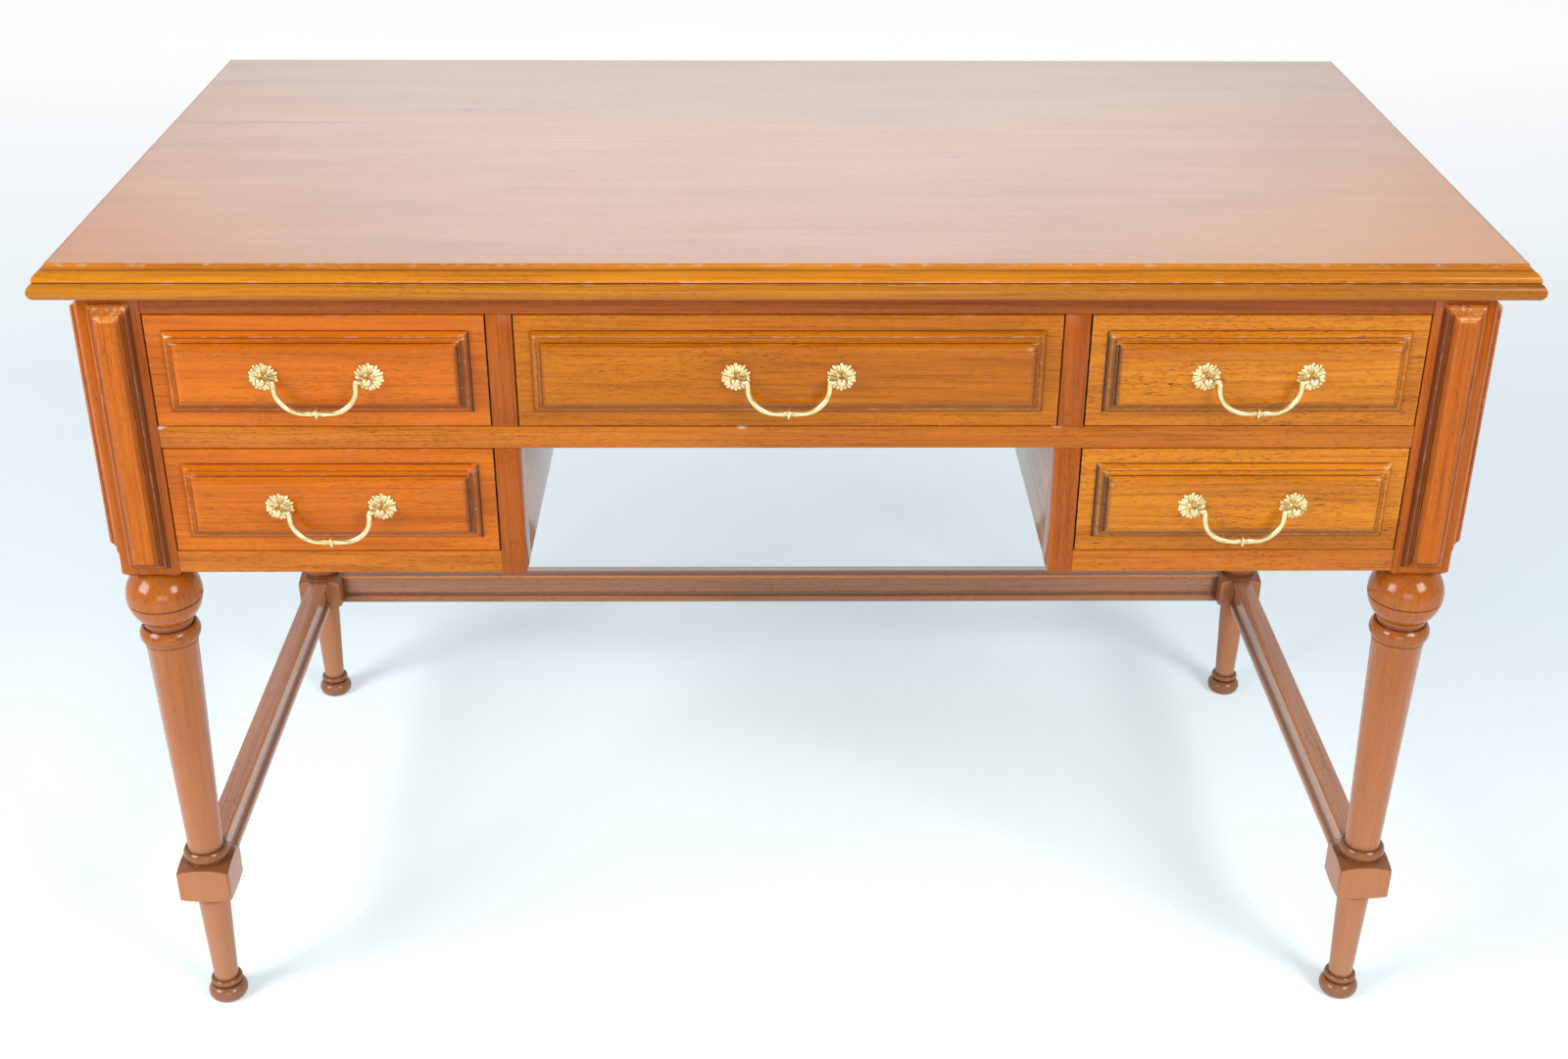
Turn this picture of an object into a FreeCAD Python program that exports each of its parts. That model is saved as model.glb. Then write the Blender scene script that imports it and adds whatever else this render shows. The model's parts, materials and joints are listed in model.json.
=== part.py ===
"""A kneehole writing desk with five drawers, on four turned legs joined by three stretchers.

+X is to the right, +Y to the back and +Z up. The origin is on the floor, below the middle of the top.
"""
import FreeCAD, Part
import math
import os
from types import SimpleNamespace
from typing import NamedTuple, Optional

import Sketcher
from FreeCAD import Placement, Rotation, Vector

# Lengths in millimetres.
SIZES = {
    # Overall
    "top_width": 1200.0,
    "top_depth": 650.0,
    "desk_height": 773.0,
    "top_thickness": 27.0,
    "side_overhang": 28.0,
    "front_overhang": 27.5,
    "back_overhang": 18.0,
    # Moulded edge of the top, from the arris down
    "edge_reach": 13.0,
    "edge_fillet": 4.5,
    "edge_ledge": 2.0,
    "edge_ovolo": 7.8,
    "edge_quirk_depth": 0.9,
    "edge_quirk": 1.2,
    "edge_nose_reach": 4.0,
    # Corner posts and their raised panels
    "post_side": 50.0,
    "post_drop": 5.5,
    "post_chamfer": 4.0,
    "post_panel_width": 35.0,
    "post_panel_top_gap": 12.0,
    "post_front_panel_foot": 10.5,
    "post_side_panel_foot": 19.5,
    "post_moulding_width": 10.5,
    "post_moulding_rise": 12.0,
    "post_moulding_fillet": 1.5,
    "post_moulding_ledge": 0.9,
    "post_moulding_band": 6.5,
    "post_moulding_quirk": 1.4,
    "post_moulding_nose": 3.2,
    # Front frame, from the top down
    "top_rail_height": 21.0,
    "upper_opening_height": 100.0,
    "mid_rail_height": 19.5,
    "lower_opening_height": 97.5,
    "bottom_rail_height": 20.5,
    "front_frame_depth": 30.0,
    "divider_width": 21.0,
    "centre_opening_width": 448.0,
    "stile_drop": 1.5,
    "rail_tenon_length": 12.0,
    "rail_tenon_thickness": 10.0,
    "rail_tenon_shoulder": 3.0,
    # Walls of the carcase
    "knee_panel_thickness": 15.0,
    "end_panel_thickness": 15.0,
    "end_panel_setback": 5.0,
    "back_panel_thickness": 12.0,
    "back_panel_setback": 5.0,
    # What the drawers run on, and what holds the top
    "runner_width": 18.0,
    "runner_height": 18.0,
    "guide_rise": 20.0,
    "stop_height": 16.0,
    "stop_depth": 27.5,
    "cleat_side": 18.0,
    # Turned legs, from the post down
    "spigot_diameter": 25.0,
    "spigot_length": 45.0,
    "joint_play": 0.1,
    "ball_diameter": 65.8,
    "ball_groove": 1.6,
    "ball_groove_depth": 1.3,
    "neck_diameter": 42.6,
    "neck_height": 5.0,
    "collar_diameter": 45.6,
    "collar_height": 16.5,
    "collar_cove": 4.0,
    "shaft_top_diameter": 45.0,
    "shaft_foot_diameter": 32.0,
    "shaft_fillet": 2.0,
    "ankle_ring_diameter": 37.0,
    "ankle_ring_height": 11.0,
    "ankle_neck": 2.0,
    "block_side": 48.4,
    "block_height": 37.5,
    "block_foot_height": 130.0,
    "block_shoulder": 4.5,
    "block_foot_shoulder": 3.0,
    "under_ring_diameter": 33.0,
    "under_ring_height": 5.5,
    "lower_leg_top_diameter": 30.0,
    "lower_leg_foot_diameter": 23.0,
    "foot_ring_diameter": 27.0,
    "foot_ring_height": 6.0,
    "foot_neck": 2.0,
    "bun_top_diameter": 28.0,
    "bun_height": 16.0,
    "foot_flat_diameter": 30.0,
    # Stretchers
    "stretcher_width": 22.0,
    "stretcher_height": 35.5,
    "stretcher_top_flange": 3.5,
    "stretcher_cove": 4.5,
    "stretcher_bottom_flange": 6.5,
    "stretcher_recess": 3.5,
    "stretcher_tenon_width": 10.0,
    "stretcher_tenon_height": 20.0,
    "stretcher_tenon_length": 14.0,
    # Drawers
    "drawer_gap": 1.0,
    "front_thickness": 20.0,
    "box_side_thickness": 12.0,
    "box_back_thickness": 12.0,
    "box_headroom": 18.0,
    "box_bottom_thickness": 6.0,
    "box_bottom_lift": 8.0,
    "groove_depth": 5.0,
    "groove_play": 0.5,
    "dovetail_length": 14.0,
    "dovetail_flare": 2.0,
    # Raised field of a drawer front
    "field_margin": 13.2,
    "field_moulding_width": 13.4,
    "field_moulding_rise": 10.8,
    "field_moulding_fillet": 1.0,
    "field_moulding_ledge": 1.1,
    "field_moulding_band": 8.4,
    "field_moulding_quirk": 1.2,
    "field_moulding_nose": 3.0,
    # Drawer pulls
    "pull_spacing": 86.0,
    "rosette_diameter": 25.0,
    "rosette_height": 3.8,
    "rosette_rim": 1.2,
    "rosette_floor": 0.6,
    "rosette_crown_diameter": 11.0,
    "petal_notch": 1.6,
    "petal_notch_inner_diameter": 13.0,
    "bolt_diameter": 4.0,
    "bolt_end": 3.0,
    "bolt_collar_diameter": 7.0,
    "bolt_collar": 1.0,
    "bolt_stem_diameter": 5.0,
    "knuckle_diameter": 9.0,
    "knuckle_reach": 10.5,
    "nut_diameter": 8.0,
    "nut_height": 3.2,
    "pin_diameter": 2.6,
    "pin_clearance": 0.05,
    "pin_end_gap": 1.0,
    "pin_shoulder_gap": 0.5,
    "bail_wire": 4.2,
    "bail_inset": 9.7,
    "bail_drop": 28.0,
    "bail_corner": 23.0,
    "bail_elbow": 2.4,
    "knop_disc": 2.4,
    "knop_disc_diameter": 9.8,
    "knop_bead": 1.5,
    "knop_bead_diameter": 5.6,
    "knop_groove": 0.8,
    "knop_groove_diameter": 4.6,
    "knop_flare_diameter": 6.0,
    # One overrun for every cut and crossing
    "overrun": 10.0,
}

# Shares of the size that each one follows.
SHARES = {
    "edge_ovolo_round_share": 1.15,
    "ball_seat_share": 0.854,
    "ball_groove_share": 0.09,
    "ball_foot_share": 0.76,
    "bead_round_share": 0.6,
    "collar_round_share": 0.68,
    "bun_round_share": 0.62,
    "lower_band_share": 0.62,
    "lower_band_rise_share": 0.6,
    "lower_band_round_share": 0.75,
    "upper_band_round_share": 0.5,
    "nose_round_share": 1.2,
    "cove_round_share": 1.1,
    "dovetail_root_share": 0.3,
}

COUNTS = {
    "petal_count": 20,
    "dovetail_count": 3,
}

# Which way an arc turns on an outline that runs clockwise round its piece.
ROUND = -1
HOLLOW = 1


class Size:
    """A size as an expression of named cells, with its present value beside it."""

    def __init__(self, text, value):
        self.text = text
        self.value = value

    def join(self, sign, other, value):
        """Write this size and another as one expression."""
        return Size(f"({self.text} {sign} {other.text})", value)

    def __add__(self, other):
        other = as_size(other)
        return self.join("+", other, self.value + other.value)

    def __sub__(self, other):
        other = as_size(other)
        return self.join("-", other, self.value - other.value)

    def __mul__(self, other):
        other = as_size(other)
        return self.join("*", other, self.value * other.value)

    def __truediv__(self, other):
        other = as_size(other)
        return self.join("/", other, self.value / other.value)

    def __rsub__(self, other):
        return as_size(other) - self

    def __neg__(self):
        return Size(f"(-{self.text})", -self.value)

    def root(self):
        """Square root, for chords of a circle."""
        return Size(f"sqrt({self.text})", math.sqrt(self.value))


def as_size(number):
    """Take a size as it is, and a plain ratio as an expression of itself."""
    if isinstance(number, Size):
        return number
    return Size(repr(number), number)


ZERO = Size("0", 0.0)


class Corner(NamedTuple):
    """A corner of an outline; radius and turn shape the stretch that ends in it."""

    across: Size
    up: Size
    radius: Optional[Size] = None
    turn: int = ROUND


class Moulding(NamedTuple):
    """The stepped edge of a raised field, from its outer line inwards."""

    width: Size
    rise: Size
    fillet: Size
    ledge: Size
    band: Size
    quirk: Size
    nose: Size


def make_sheet(document):
    """Write every named number to the sheet and give the sizes that read it."""
    sheet = document.addObject("Spreadsheet::Sheet", "Sizes")
    cells = {**SIZES, **SHARES, **COUNTS}
    for row, (alias, number) in enumerate(cells.items(), start=1):
        sheet.set(f"A{row}", alias)
        sheet.set(f"B{row}", str(number))
        sheet.setAlias(f"B{row}", alias)
    document.recompute()
    return SimpleNamespace(**{alias: Size(f"Sizes.{alias}", number) for alias, number in cells.items()})


doc = FreeCAD.newDocument("Desk")
S = make_sheet(doc)
nodes = {}

# Planes of the front frame, of the posts and of the kneehole.
front_y = S.front_overhang - S.top_depth / 2
back_y = S.top_depth / 2 - S.back_overhang
frame_back_y = front_y + S.front_frame_depth
side_x = S.top_width / 2 - S.side_overhang
post_inner_x = side_x - S.post_side
centre_half = S.centre_opening_width / 2
stile_x = centre_half + S.divider_width
end_panel_inner_x = side_x - S.end_panel_setback - S.end_panel_thickness
back_panel_y = back_y - S.back_panel_setback - S.back_panel_thickness
drawer_rear_y = back_panel_y - S.stop_depth
drawer_depth = drawer_rear_y - front_y

# Heights of the front frame, from the top down.
under_top_z = S.desk_height - S.top_thickness
upper_roof_z = under_top_z - S.top_rail_height
upper_floor_z = upper_roof_z - S.upper_opening_height
lower_roof_z = upper_floor_z - S.mid_rail_height
lower_floor_z = lower_roof_z - S.lower_opening_height
frame_foot_z = lower_floor_z - S.bottom_rail_height
leg_top_z = frame_foot_z - S.post_drop

# Axes of the legs and posts.
leg_x = side_x - S.post_side / 2
leg_front_y = front_y + S.post_side / 2
leg_back_y = back_y - S.post_side / 2
post_front_inner_y = front_y + S.post_side
post_back_inner_y = back_y - S.post_side

FIELD_MOULDING = Moulding(
    S.field_moulding_width,
    S.field_moulding_rise,
    S.field_moulding_fillet,
    S.field_moulding_ledge,
    S.field_moulding_band,
    S.field_moulding_quirk,
    S.field_moulding_nose,
)
POST_MOULDING = Moulding(
    S.post_moulding_width,
    S.post_moulding_rise,
    S.post_moulding_fillet,
    S.post_moulding_ledge,
    S.post_moulding_band,
    S.post_moulding_quirk,
    S.post_moulding_nose,
)

# Where the two directions of a free sketch point.
FRONT_PLANE = Rotation(Vector(1, 0, 0), Vector(0, 0, 1), Vector(0, -1, 0), "ZXY")
SIDE_PLANE = Rotation(Vector(0, 1, 0), Vector(0, 0, 1), Vector(1, 0, 0), "ZXY")
FACING_ACROSS = Rotation(Vector(1, 0, 0), Vector(0, -1, 0), Vector(0, 0, -1), "ZXY")
FACING_UPRIGHT = Rotation(Vector(0, 0, 1), Vector(0, -1, 0), Vector(1, 0, 0), "ZXY")
AXIS_TO_FRONT = Rotation(Vector(1, 0, 0), 90)
UNTURNED = Rotation()


# Small helpers

def bind(item, path, size):
    """Tie a property to a size."""
    item.setExpression(path, size.text)


def place(item, x, y, z, rotation=UNTURNED):
    """Turn an object, then tie its place to sizes."""
    item.Placement = Placement(Vector(), rotation)
    bind(item, "Placement.Base.x", x)
    bind(item, "Placement.Base.y", y)
    bind(item, "Placement.Base.z", z)


def name_node(name, item):
    """Make an object a sub-part of the desk."""
    item.Label = name
    nodes[name] = item
    return item


def group(name, items):
    """Keep like pieces together as separate solids of one sub-part."""
    compound = doc.addObject("Part::Compound", name)
    compound.Links = items
    return name_node(name, compound)


def board(name, low, high):
    """A squared board between two corners."""
    item = doc.addObject("Part::Box", name)
    for side, start, end in zip(("Length", "Width", "Height"), low, high):
        bind(item, side, end - start)
    place(item, *low)
    return item


def span(start, end, side):
    """A stretch along X on the right (1), or its mirror image on the left (-1)."""
    return (start, end) if side > 0 else (-end, -start)


def side_board(name, side, x_span, y_span, z_span):
    """A board given for the right-hand side, made on either side."""
    low, high = zip(span(*x_span, side), y_span, z_span)
    return board(name, low, high)


def fuse(name, items):
    """Make one solid of several."""
    item = doc.addObject("Part::MultiFuse", name)
    item.Shapes = items
    return item


def cut(name, base, tool):
    """Take a tool's shape out of a base."""
    item = doc.addObject("Part::Cut", name)
    item.Base = base
    item.Tool = tool
    return item


# Sketches

def arc_between(start, end, radius, turn):
    """The shorter arc from one point to another, turning left (HOLLOW) or right (ROUND)."""
    chord = end - start
    middle = (start + end) / 2
    reach = math.sqrt(max(radius ** 2 - (chord.Length / 2) ** 2, 0))
    left = Vector(-chord.y, chord.x, 0).normalize()
    centre = middle + left * reach * turn
    first, last = (start, end) if turn == HOLLOW else (end, start)
    first_angle = math.atan2(first.y - centre.y, first.x - centre.x)
    last_angle = math.atan2(last.y - centre.y, last.x - centre.x)
    circle = Part.Circle(centre, Vector(0, 0, 1), radius)
    return Part.ArcOfCircle(circle, first_angle, last_angle)


def tied(kind, name, size, *ends):
    """A named constraint that starts at a size's present value."""
    constraint = Sketcher.Constraint(kind, *ends, size.value)
    constraint.Name = name
    return constraint


def draw(sketch, corners, closed=True):
    """Draw lines and arcs through corners, and tie each corner and radius to its sizes."""
    offset = sketch.GeometryCount
    points = [Vector(corner.across.value, corner.up.value, 0) for corner in corners]
    shapes = []
    ends = []
    constraints = []
    sizes = {}
    stretches = list(range(len(corners))) if closed else list(range(1, len(corners)))
    for number, index in enumerate(stretches):
        corner = corners[index]
        if corner.radius is None:
            shapes.append(Part.LineSegment(points[index - 1], points[index]))
            ends.append((1, 2))
            continue
        shapes.append(arc_between(points[index - 1], points[index], corner.radius.value, corner.turn))
        ends.append((1, 2) if corner.turn == HOLLOW else (2, 1))
        sizes[f"radius{offset + number}"] = corner.radius
        constraints.append(tied("Radius", f"radius{offset + number}", corner.radius, offset + number))
    sketch.addGeometry(shapes, False)
    joins = len(shapes) if closed else len(shapes) - 1
    for number in range(joins):
        following = (number + 1) % len(shapes)
        constraints.append(
            Sketcher.Constraint(
                "Coincident", offset + number, ends[number][1], offset + following, ends[following][0]
            )
        )
    held = [(number, ends[number][1], corners[index]) for number, index in enumerate(stretches)]
    if not closed:
        held.insert(0, (0, ends[0][0], corners[0]))
    for order, (number, end, corner) in enumerate(held):
        for kind, word, size in (("DistanceX", "across", corner.across), ("DistanceY", "up", corner.up)):
            name = f"{word}{offset}_{order}"
            sizes[name] = size
            constraints.append(tied(kind, name, size, offset + number, end))
    sketch.addConstraint(constraints)
    for name, size in sizes.items():
        bind(sketch, f"Constraints.{name}", size)
    return sketch


def draw_circle(sketch, radius):
    """A circle round the sketch's origin."""
    sketch.addGeometry(Part.Circle(Vector(), Vector(0, 0, 1), radius.value), False)
    sketch.addConstraint([
        Sketcher.Constraint("Coincident", 0, 3, -1, 1),
        tied("Radius", "radius", radius, 0),
    ])
    bind(sketch, "Constraints.radius", radius)
    return sketch


def rectangle(left, right, bottom, top):
    """Corners of a rectangle, clockwise."""
    return [Corner(left, top), Corner(right, top), Corner(right, bottom), Corner(left, bottom)]


def both_halves(right_half):
    """Complete a clockwise outline whose right half runs from its top to its bottom."""
    left_half = []
    for index in reversed(range(len(right_half))):
        corner = right_half[index]
        following = right_half[index + 1] if index + 1 < len(right_half) else None
        radius = following.radius if following else None
        turn = following.turn if following else ROUND
        left_half.append(Corner(-corner.across, corner.up, radius, turn))
    return right_half + left_half


def free_sketch(name, rotation, *outlines):
    """A sketch outside a body, for an extrusion."""
    sketch = doc.addObject("Sketcher::SketchObject", name)
    sketch.Placement = Placement(Vector(), rotation)
    for corners in outlines:
        draw(sketch, corners)
    return sketch


def extrude(name, sketch, length):
    """Run an outline evenly to both sides of its sketch."""
    item = doc.addObject("Part::Extrusion", name)
    item.Base = sketch
    item.DirMode = "Normal"
    item.Solid = True
    item.Symmetric = True
    bind(item, "LengthFwd", length)
    return item


def crossing(name, first, second):
    """What two runs of a moulding share: the same edge on all four sides, with mitred corners."""
    item = doc.addObject("Part::Common", name)
    item.Base = first
    item.Tool = second
    return item


# Features of a body

def new_body(name):
    """A body for one piece."""
    return doc.addObject("PartDesign::Body", name)


def sketch_on(body, role, name, offset=None):
    """A sketch on one of a body's own planes, or beside it."""
    sketch = body.newObject("Sketcher::SketchObject", name)
    plane = next(feature for feature in body.Origin.OriginFeatures if feature.Role == role)
    sketch.AttachmentSupport = (plane, [""])
    sketch.MapMode = "FlatFace"
    if offset is not None:
        bind(sketch, "AttachmentOffset.Base.z", offset)
    return sketch


def pad(body, sketch, length, symmetric=False):
    """Raise a sketch by a length."""
    feature = body.newObject("PartDesign::Pad", f"{body.Name}_pad")
    feature.Profile = sketch
    if symmetric:
        feature.SideType = "Symmetric"
    bind(feature, "Length", length)
    return feature


def revolve(body, sketch, axis="V_Axis"):
    """Turn a half profile about an axis of its sketch."""
    feature = body.newObject("PartDesign::Revolution", f"{body.Name}_turning")
    feature.Profile = sketch
    feature.ReferenceAxis = (sketch, [axis])
    feature.Angle = 360
    return feature


def pocket(body, sketch, length, along_normal):
    """Cut a sketch away by a length, and make sure that it cut something."""
    doc.recompute()
    before = body.Shape.Volume
    feature = body.newObject("PartDesign::Pocket", f"{body.Name}_pocket")
    feature.Profile = sketch
    feature.Reversed = along_normal
    bind(feature, "Length", length)
    doc.recompute()
    if body.Shape.Volume >= before:
        raise RuntimeError(f"{feature.Name} cuts nothing")
    return feature


def mortise(body, role, face, toward_normal, depth, outlines):
    """Cut mortises into a face that lies a given way out from the body's plane."""
    offset = face - depth if toward_normal else depth - face
    sketch = sketch_on(body, role, f"{body.Name}_mortise", offset)
    for corners in outlines:
        draw(sketch, corners)
    return pocket(body, sketch, depth + S.overrun, toward_normal)


# Mouldings

def raised_half(half_span, moulding, margin, thickness):
    """Right half of a section through a board with a raised field, from the field down."""
    line = half_span - margin
    nose_foot = moulding.rise - moulding.nose
    band_top = nose_foot - moulding.quirk
    nose_radius = (moulding.width - moulding.band) * S.nose_round_share
    ledge_height = moulding.fillet + (band_top - moulding.fillet) * S.lower_band_rise_share
    lower_end = (moulding.band - moulding.ledge * 2) * S.lower_band_share
    half = [
        Corner(line - moulding.width, moulding.rise),
        Corner(line - moulding.band, nose_foot, nose_radius, ROUND),
        Corner(line - moulding.band, band_top),
        Corner(line - moulding.band + moulding.ledge, band_top),
        Corner(line - lower_end - moulding.ledge, ledge_height, moulding.band * S.upper_band_round_share, HOLLOW),
        Corner(line - lower_end, ledge_height),
        Corner(line, moulding.fillet, moulding.band * S.lower_band_round_share, ROUND),
        Corner(line, ZERO),
    ]
    if thickness is not None:
        half.append(Corner(half_span, ZERO))
        half.append(Corner(half_span, -thickness))
    return half


def raised_panel(name, width, height, moulding, margin=ZERO, thickness=None):
    """A panel that faces the front, with its raised field's mouldings mitred at the corners."""
    across = both_halves(raised_half(width / 2, moulding, margin, thickness))
    upright = both_halves(raised_half(height / 2, moulding, margin, thickness))
    run_across = extrude(f"{name}_run", free_sketch(f"{name}_plan", FACING_ACROSS, across), height)
    run_upright = extrude(f"{name}_rise", free_sketch(f"{name}_section", FACING_UPRIGHT, upright), width)
    return crossing(name, run_across, run_upright)


def edge_half(half_span):
    """Right half of a section through the top, from its arris down."""
    arris = half_span - S.edge_reach
    fillet_foot = -S.edge_fillet
    ovolo_foot = fillet_foot - S.edge_ovolo
    nose_top = ovolo_foot - S.edge_quirk
    nose_root = half_span - S.edge_nose_reach
    nose_half = (S.top_thickness + nose_top) / 2
    nose_radius = (nose_half * nose_half + S.edge_nose_reach * S.edge_nose_reach) / (S.edge_nose_reach * 2)
    return [
        Corner(arris, ZERO),
        Corner(arris, fillet_foot),
        Corner(arris + S.edge_ledge, fillet_foot),
        Corner(nose_root, ovolo_foot, S.edge_ovolo * S.edge_ovolo_round_share, ROUND),
        Corner(nose_root - S.edge_quirk_depth, ovolo_foot),
        Corner(nose_root - S.edge_quirk_depth, nose_top),
        Corner(nose_root, nose_top),
        Corner(nose_root, -S.top_thickness, nose_radius, ROUND),
    ]


def make_top():
    """The top, moulded alike on its four edges."""
    wide = free_sketch("top_width_section", FRONT_PLANE, both_halves(edge_half(S.top_width / 2)))
    deep = free_sketch("top_depth_section", SIDE_PLANE, both_halves(edge_half(S.top_depth / 2)))
    wide_run = extrude("top_width_run", wide, S.top_depth + S.overrun)
    deep_run = extrude("top_depth_run", deep, S.top_width + S.overrun)
    top = name_node("desk_top", crossing("desk_top", wide_run, deep_run))
    place(top, ZERO, ZERO, S.desk_height)


# Legs, posts and stretchers

def bead(top_radius, top, height, foot_radius, round_share):
    """A round ring on a turning: its two corners, the lower one ending the arc."""
    foot = top - height
    return [Corner(top_radius, top), Corner(foot_radius, foot, height * round_share, ROUND)]


def leg_profile():
    """Half profile of a turned leg, from its spigot down to the floor."""
    ball = S.ball_diameter / 2
    centre = leg_top_z - ball * S.ball_seat_share
    seat_radius = ball * (1 - S.ball_seat_share * S.ball_seat_share).root()
    groove_radius = ball * (1 - S.ball_groove_share * S.ball_groove_share).root()
    foot_radius = ball * (1 - S.ball_foot_share * S.ball_foot_share).root()
    groove_top = centre - ball * S.ball_groove_share
    groove_foot = groove_top - S.ball_groove
    ball_foot = centre - ball * S.ball_foot_share
    collar_top = ball_foot - S.neck_height
    collar_foot = collar_top - S.collar_height
    shaft_top = collar_foot - S.collar_cove
    block_top = S.block_foot_height + S.block_height
    ring_foot = block_top + S.ankle_neck
    ring_top = ring_foot + S.ankle_ring_height
    shaft_foot = ring_top + S.shaft_fillet
    corner_radius = S.block_side / 2 * as_size(2).root()
    under_ring_foot = S.block_foot_height - S.under_ring_height
    foot_ring_foot = S.bun_height + S.foot_neck
    foot_ring_top = foot_ring_foot + S.foot_ring_height
    return [
        Corner(ZERO, leg_top_z + S.spigot_length),
        Corner(S.spigot_diameter / 2, leg_top_z + S.spigot_length),
        Corner(S.spigot_diameter / 2, leg_top_z),
        Corner(seat_radius, leg_top_z),
        Corner(groove_radius, groove_top, ball, ROUND),
        Corner(groove_radius - S.ball_groove_depth, groove_foot),
        Corner(groove_radius - S.ball_groove_depth / 2, groove_foot),
        Corner(foot_radius, ball_foot, ball, ROUND),
        Corner(S.neck_diameter / 2, ball_foot),
        Corner(S.neck_diameter / 2, collar_top),
        *bead(S.collar_diameter / 2, collar_top, S.collar_height, S.collar_diameter / 2, S.collar_round_share),
        Corner(S.shaft_top_diameter / 2, shaft_top, S.collar_cove * S.cove_round_share, HOLLOW),
        Corner(S.shaft_foot_diameter / 2, shaft_foot),
        *bead(S.ankle_ring_diameter / 2, ring_top, S.ankle_ring_height, S.ankle_ring_diameter / 2,
              S.bead_round_share),
        Corner(S.ankle_ring_diameter / 2, block_top),
        Corner(corner_radius, block_top - S.block_shoulder),
        Corner(corner_radius, S.block_foot_height + S.block_foot_shoulder),
        Corner(S.under_ring_diameter / 2, S.block_foot_height),
        Corner(S.under_ring_diameter / 2, under_ring_foot, S.under_ring_height * S.bead_round_share, ROUND),
        Corner(S.lower_leg_top_diameter / 2, under_ring_foot),
        Corner(S.lower_leg_foot_diameter / 2, foot_ring_top),
        *bead(S.foot_ring_diameter / 2, foot_ring_top, S.foot_ring_height, S.foot_ring_diameter / 2,
              S.bead_round_share),
        Corner(S.lower_leg_foot_diameter / 2, foot_ring_foot),
        Corner(S.lower_leg_foot_diameter / 2, S.bun_height),
        Corner(S.bun_top_diameter / 2, S.bun_height),
        Corner(S.foot_flat_diameter / 2, ZERO, S.bun_height * S.bun_round_share, ROUND),
        Corner(ZERO, ZERO),
    ]


def square_block(body):
    """Saw the four flats of the block that the lathe left round."""
    flats = sketch_on(body, "XY_Plane", f"{body.Name}_flats", S.block_foot_height)
    half = S.block_side / 2
    draw(flats, rectangle(-half, half, -half, half))
    draw(flats, rectangle(-S.block_side, S.block_side, -S.block_side, S.block_side))
    pocket(body, flats, S.block_height, True)


def stretcher_foot_z():
    """Height of a stretcher's underside, level with the middle of the leg blocks."""
    return S.block_foot_height + (S.block_height - S.stretcher_height) / 2


def stretcher_mortise():
    """Outline of the mortise that takes a stretcher's tenon, upright on a leg's block."""
    half = S.stretcher_tenon_width / 2 + S.joint_play
    middle = stretcher_foot_z() + S.stretcher_height / 2
    rise = S.stretcher_tenon_height / 2 + S.joint_play
    return rectangle(-half, half, middle - rise, middle + rise)


def make_leg(name, side, at_front):
    """A turned leg with its square block, mortised for the stretchers."""
    body = name_node(name, new_body(name))
    revolve(body, draw(sketch_on(body, "XZ_Plane", f"{name}_profile"), leg_profile()))
    square_block(body)
    face = S.block_side / 2
    depth = S.stretcher_tenon_length + S.joint_play
    mortise(body, "XZ_Plane", face, not at_front, depth, [stretcher_mortise()])
    if not at_front:
        mortise(body, "YZ_Plane", face, side < 0, depth, [stretcher_mortise()])
    place(body, *leg_axis(side, at_front), ZERO)


def leg_axis(side, at_front):
    """Where a leg and the post above it stand."""
    x = leg_x if side > 0 else -leg_x
    return x, leg_front_y if at_front else leg_back_y


def make_post(name, side, at_front):
    """A corner post, bored for its leg and, at the front, mortised for the rails."""
    body = name_node(name, new_body(name))
    half = S.post_side / 2
    square = draw(sketch_on(body, "XY_Plane", f"{name}_square"), rectangle(-half, half, -half, half))
    shaft = pad(body, square, under_top_z - leg_top_z)
    doc.recompute()
    foot_edges = [
        f"Edge{number}"
        for number, edge in enumerate(shaft.Shape.Edges, start=1)
        if edge.BoundBox.ZMax < S.post_chamfer.value
    ]
    chamfer = body.newObject("PartDesign::Chamfer", f"{name}_chamfer")
    chamfer.Base = (shaft, foot_edges)
    bind(chamfer, "Size", S.post_chamfer)
    socket = sketch_on(body, "XY_Plane", f"{name}_socket")
    draw_circle(socket, S.spigot_diameter / 2 + S.joint_play)
    pocket(body, socket, S.spigot_length + S.joint_play, True)
    if at_front:
        depth = S.rail_tenon_length + S.joint_play
        outlines = [rail_mortise(foot, roof) for foot, roof in rail_heights()]
        mortise(body, "YZ_Plane", half, side < 0, depth, outlines)
    place(body, *leg_axis(side, at_front), leg_top_z)


def rail_heights():
    """Lower and upper edges of the front rails, from the top down."""
    return [(upper_roof_z, under_top_z), (lower_roof_z, upper_floor_z), (frame_foot_z, lower_floor_z)]


def rail_mortise(foot, roof):
    """Outline of a rail's mortise on a front post's inner face."""
    middle = S.front_frame_depth / 2 - S.post_side / 2
    half = S.rail_tenon_thickness / 2 + S.joint_play
    low = foot + S.rail_tenon_shoulder - S.joint_play - leg_top_z
    high = roof - S.rail_tenon_shoulder + S.joint_play - leg_top_z
    return rectangle(middle - half, middle + half, low, high)


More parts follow.
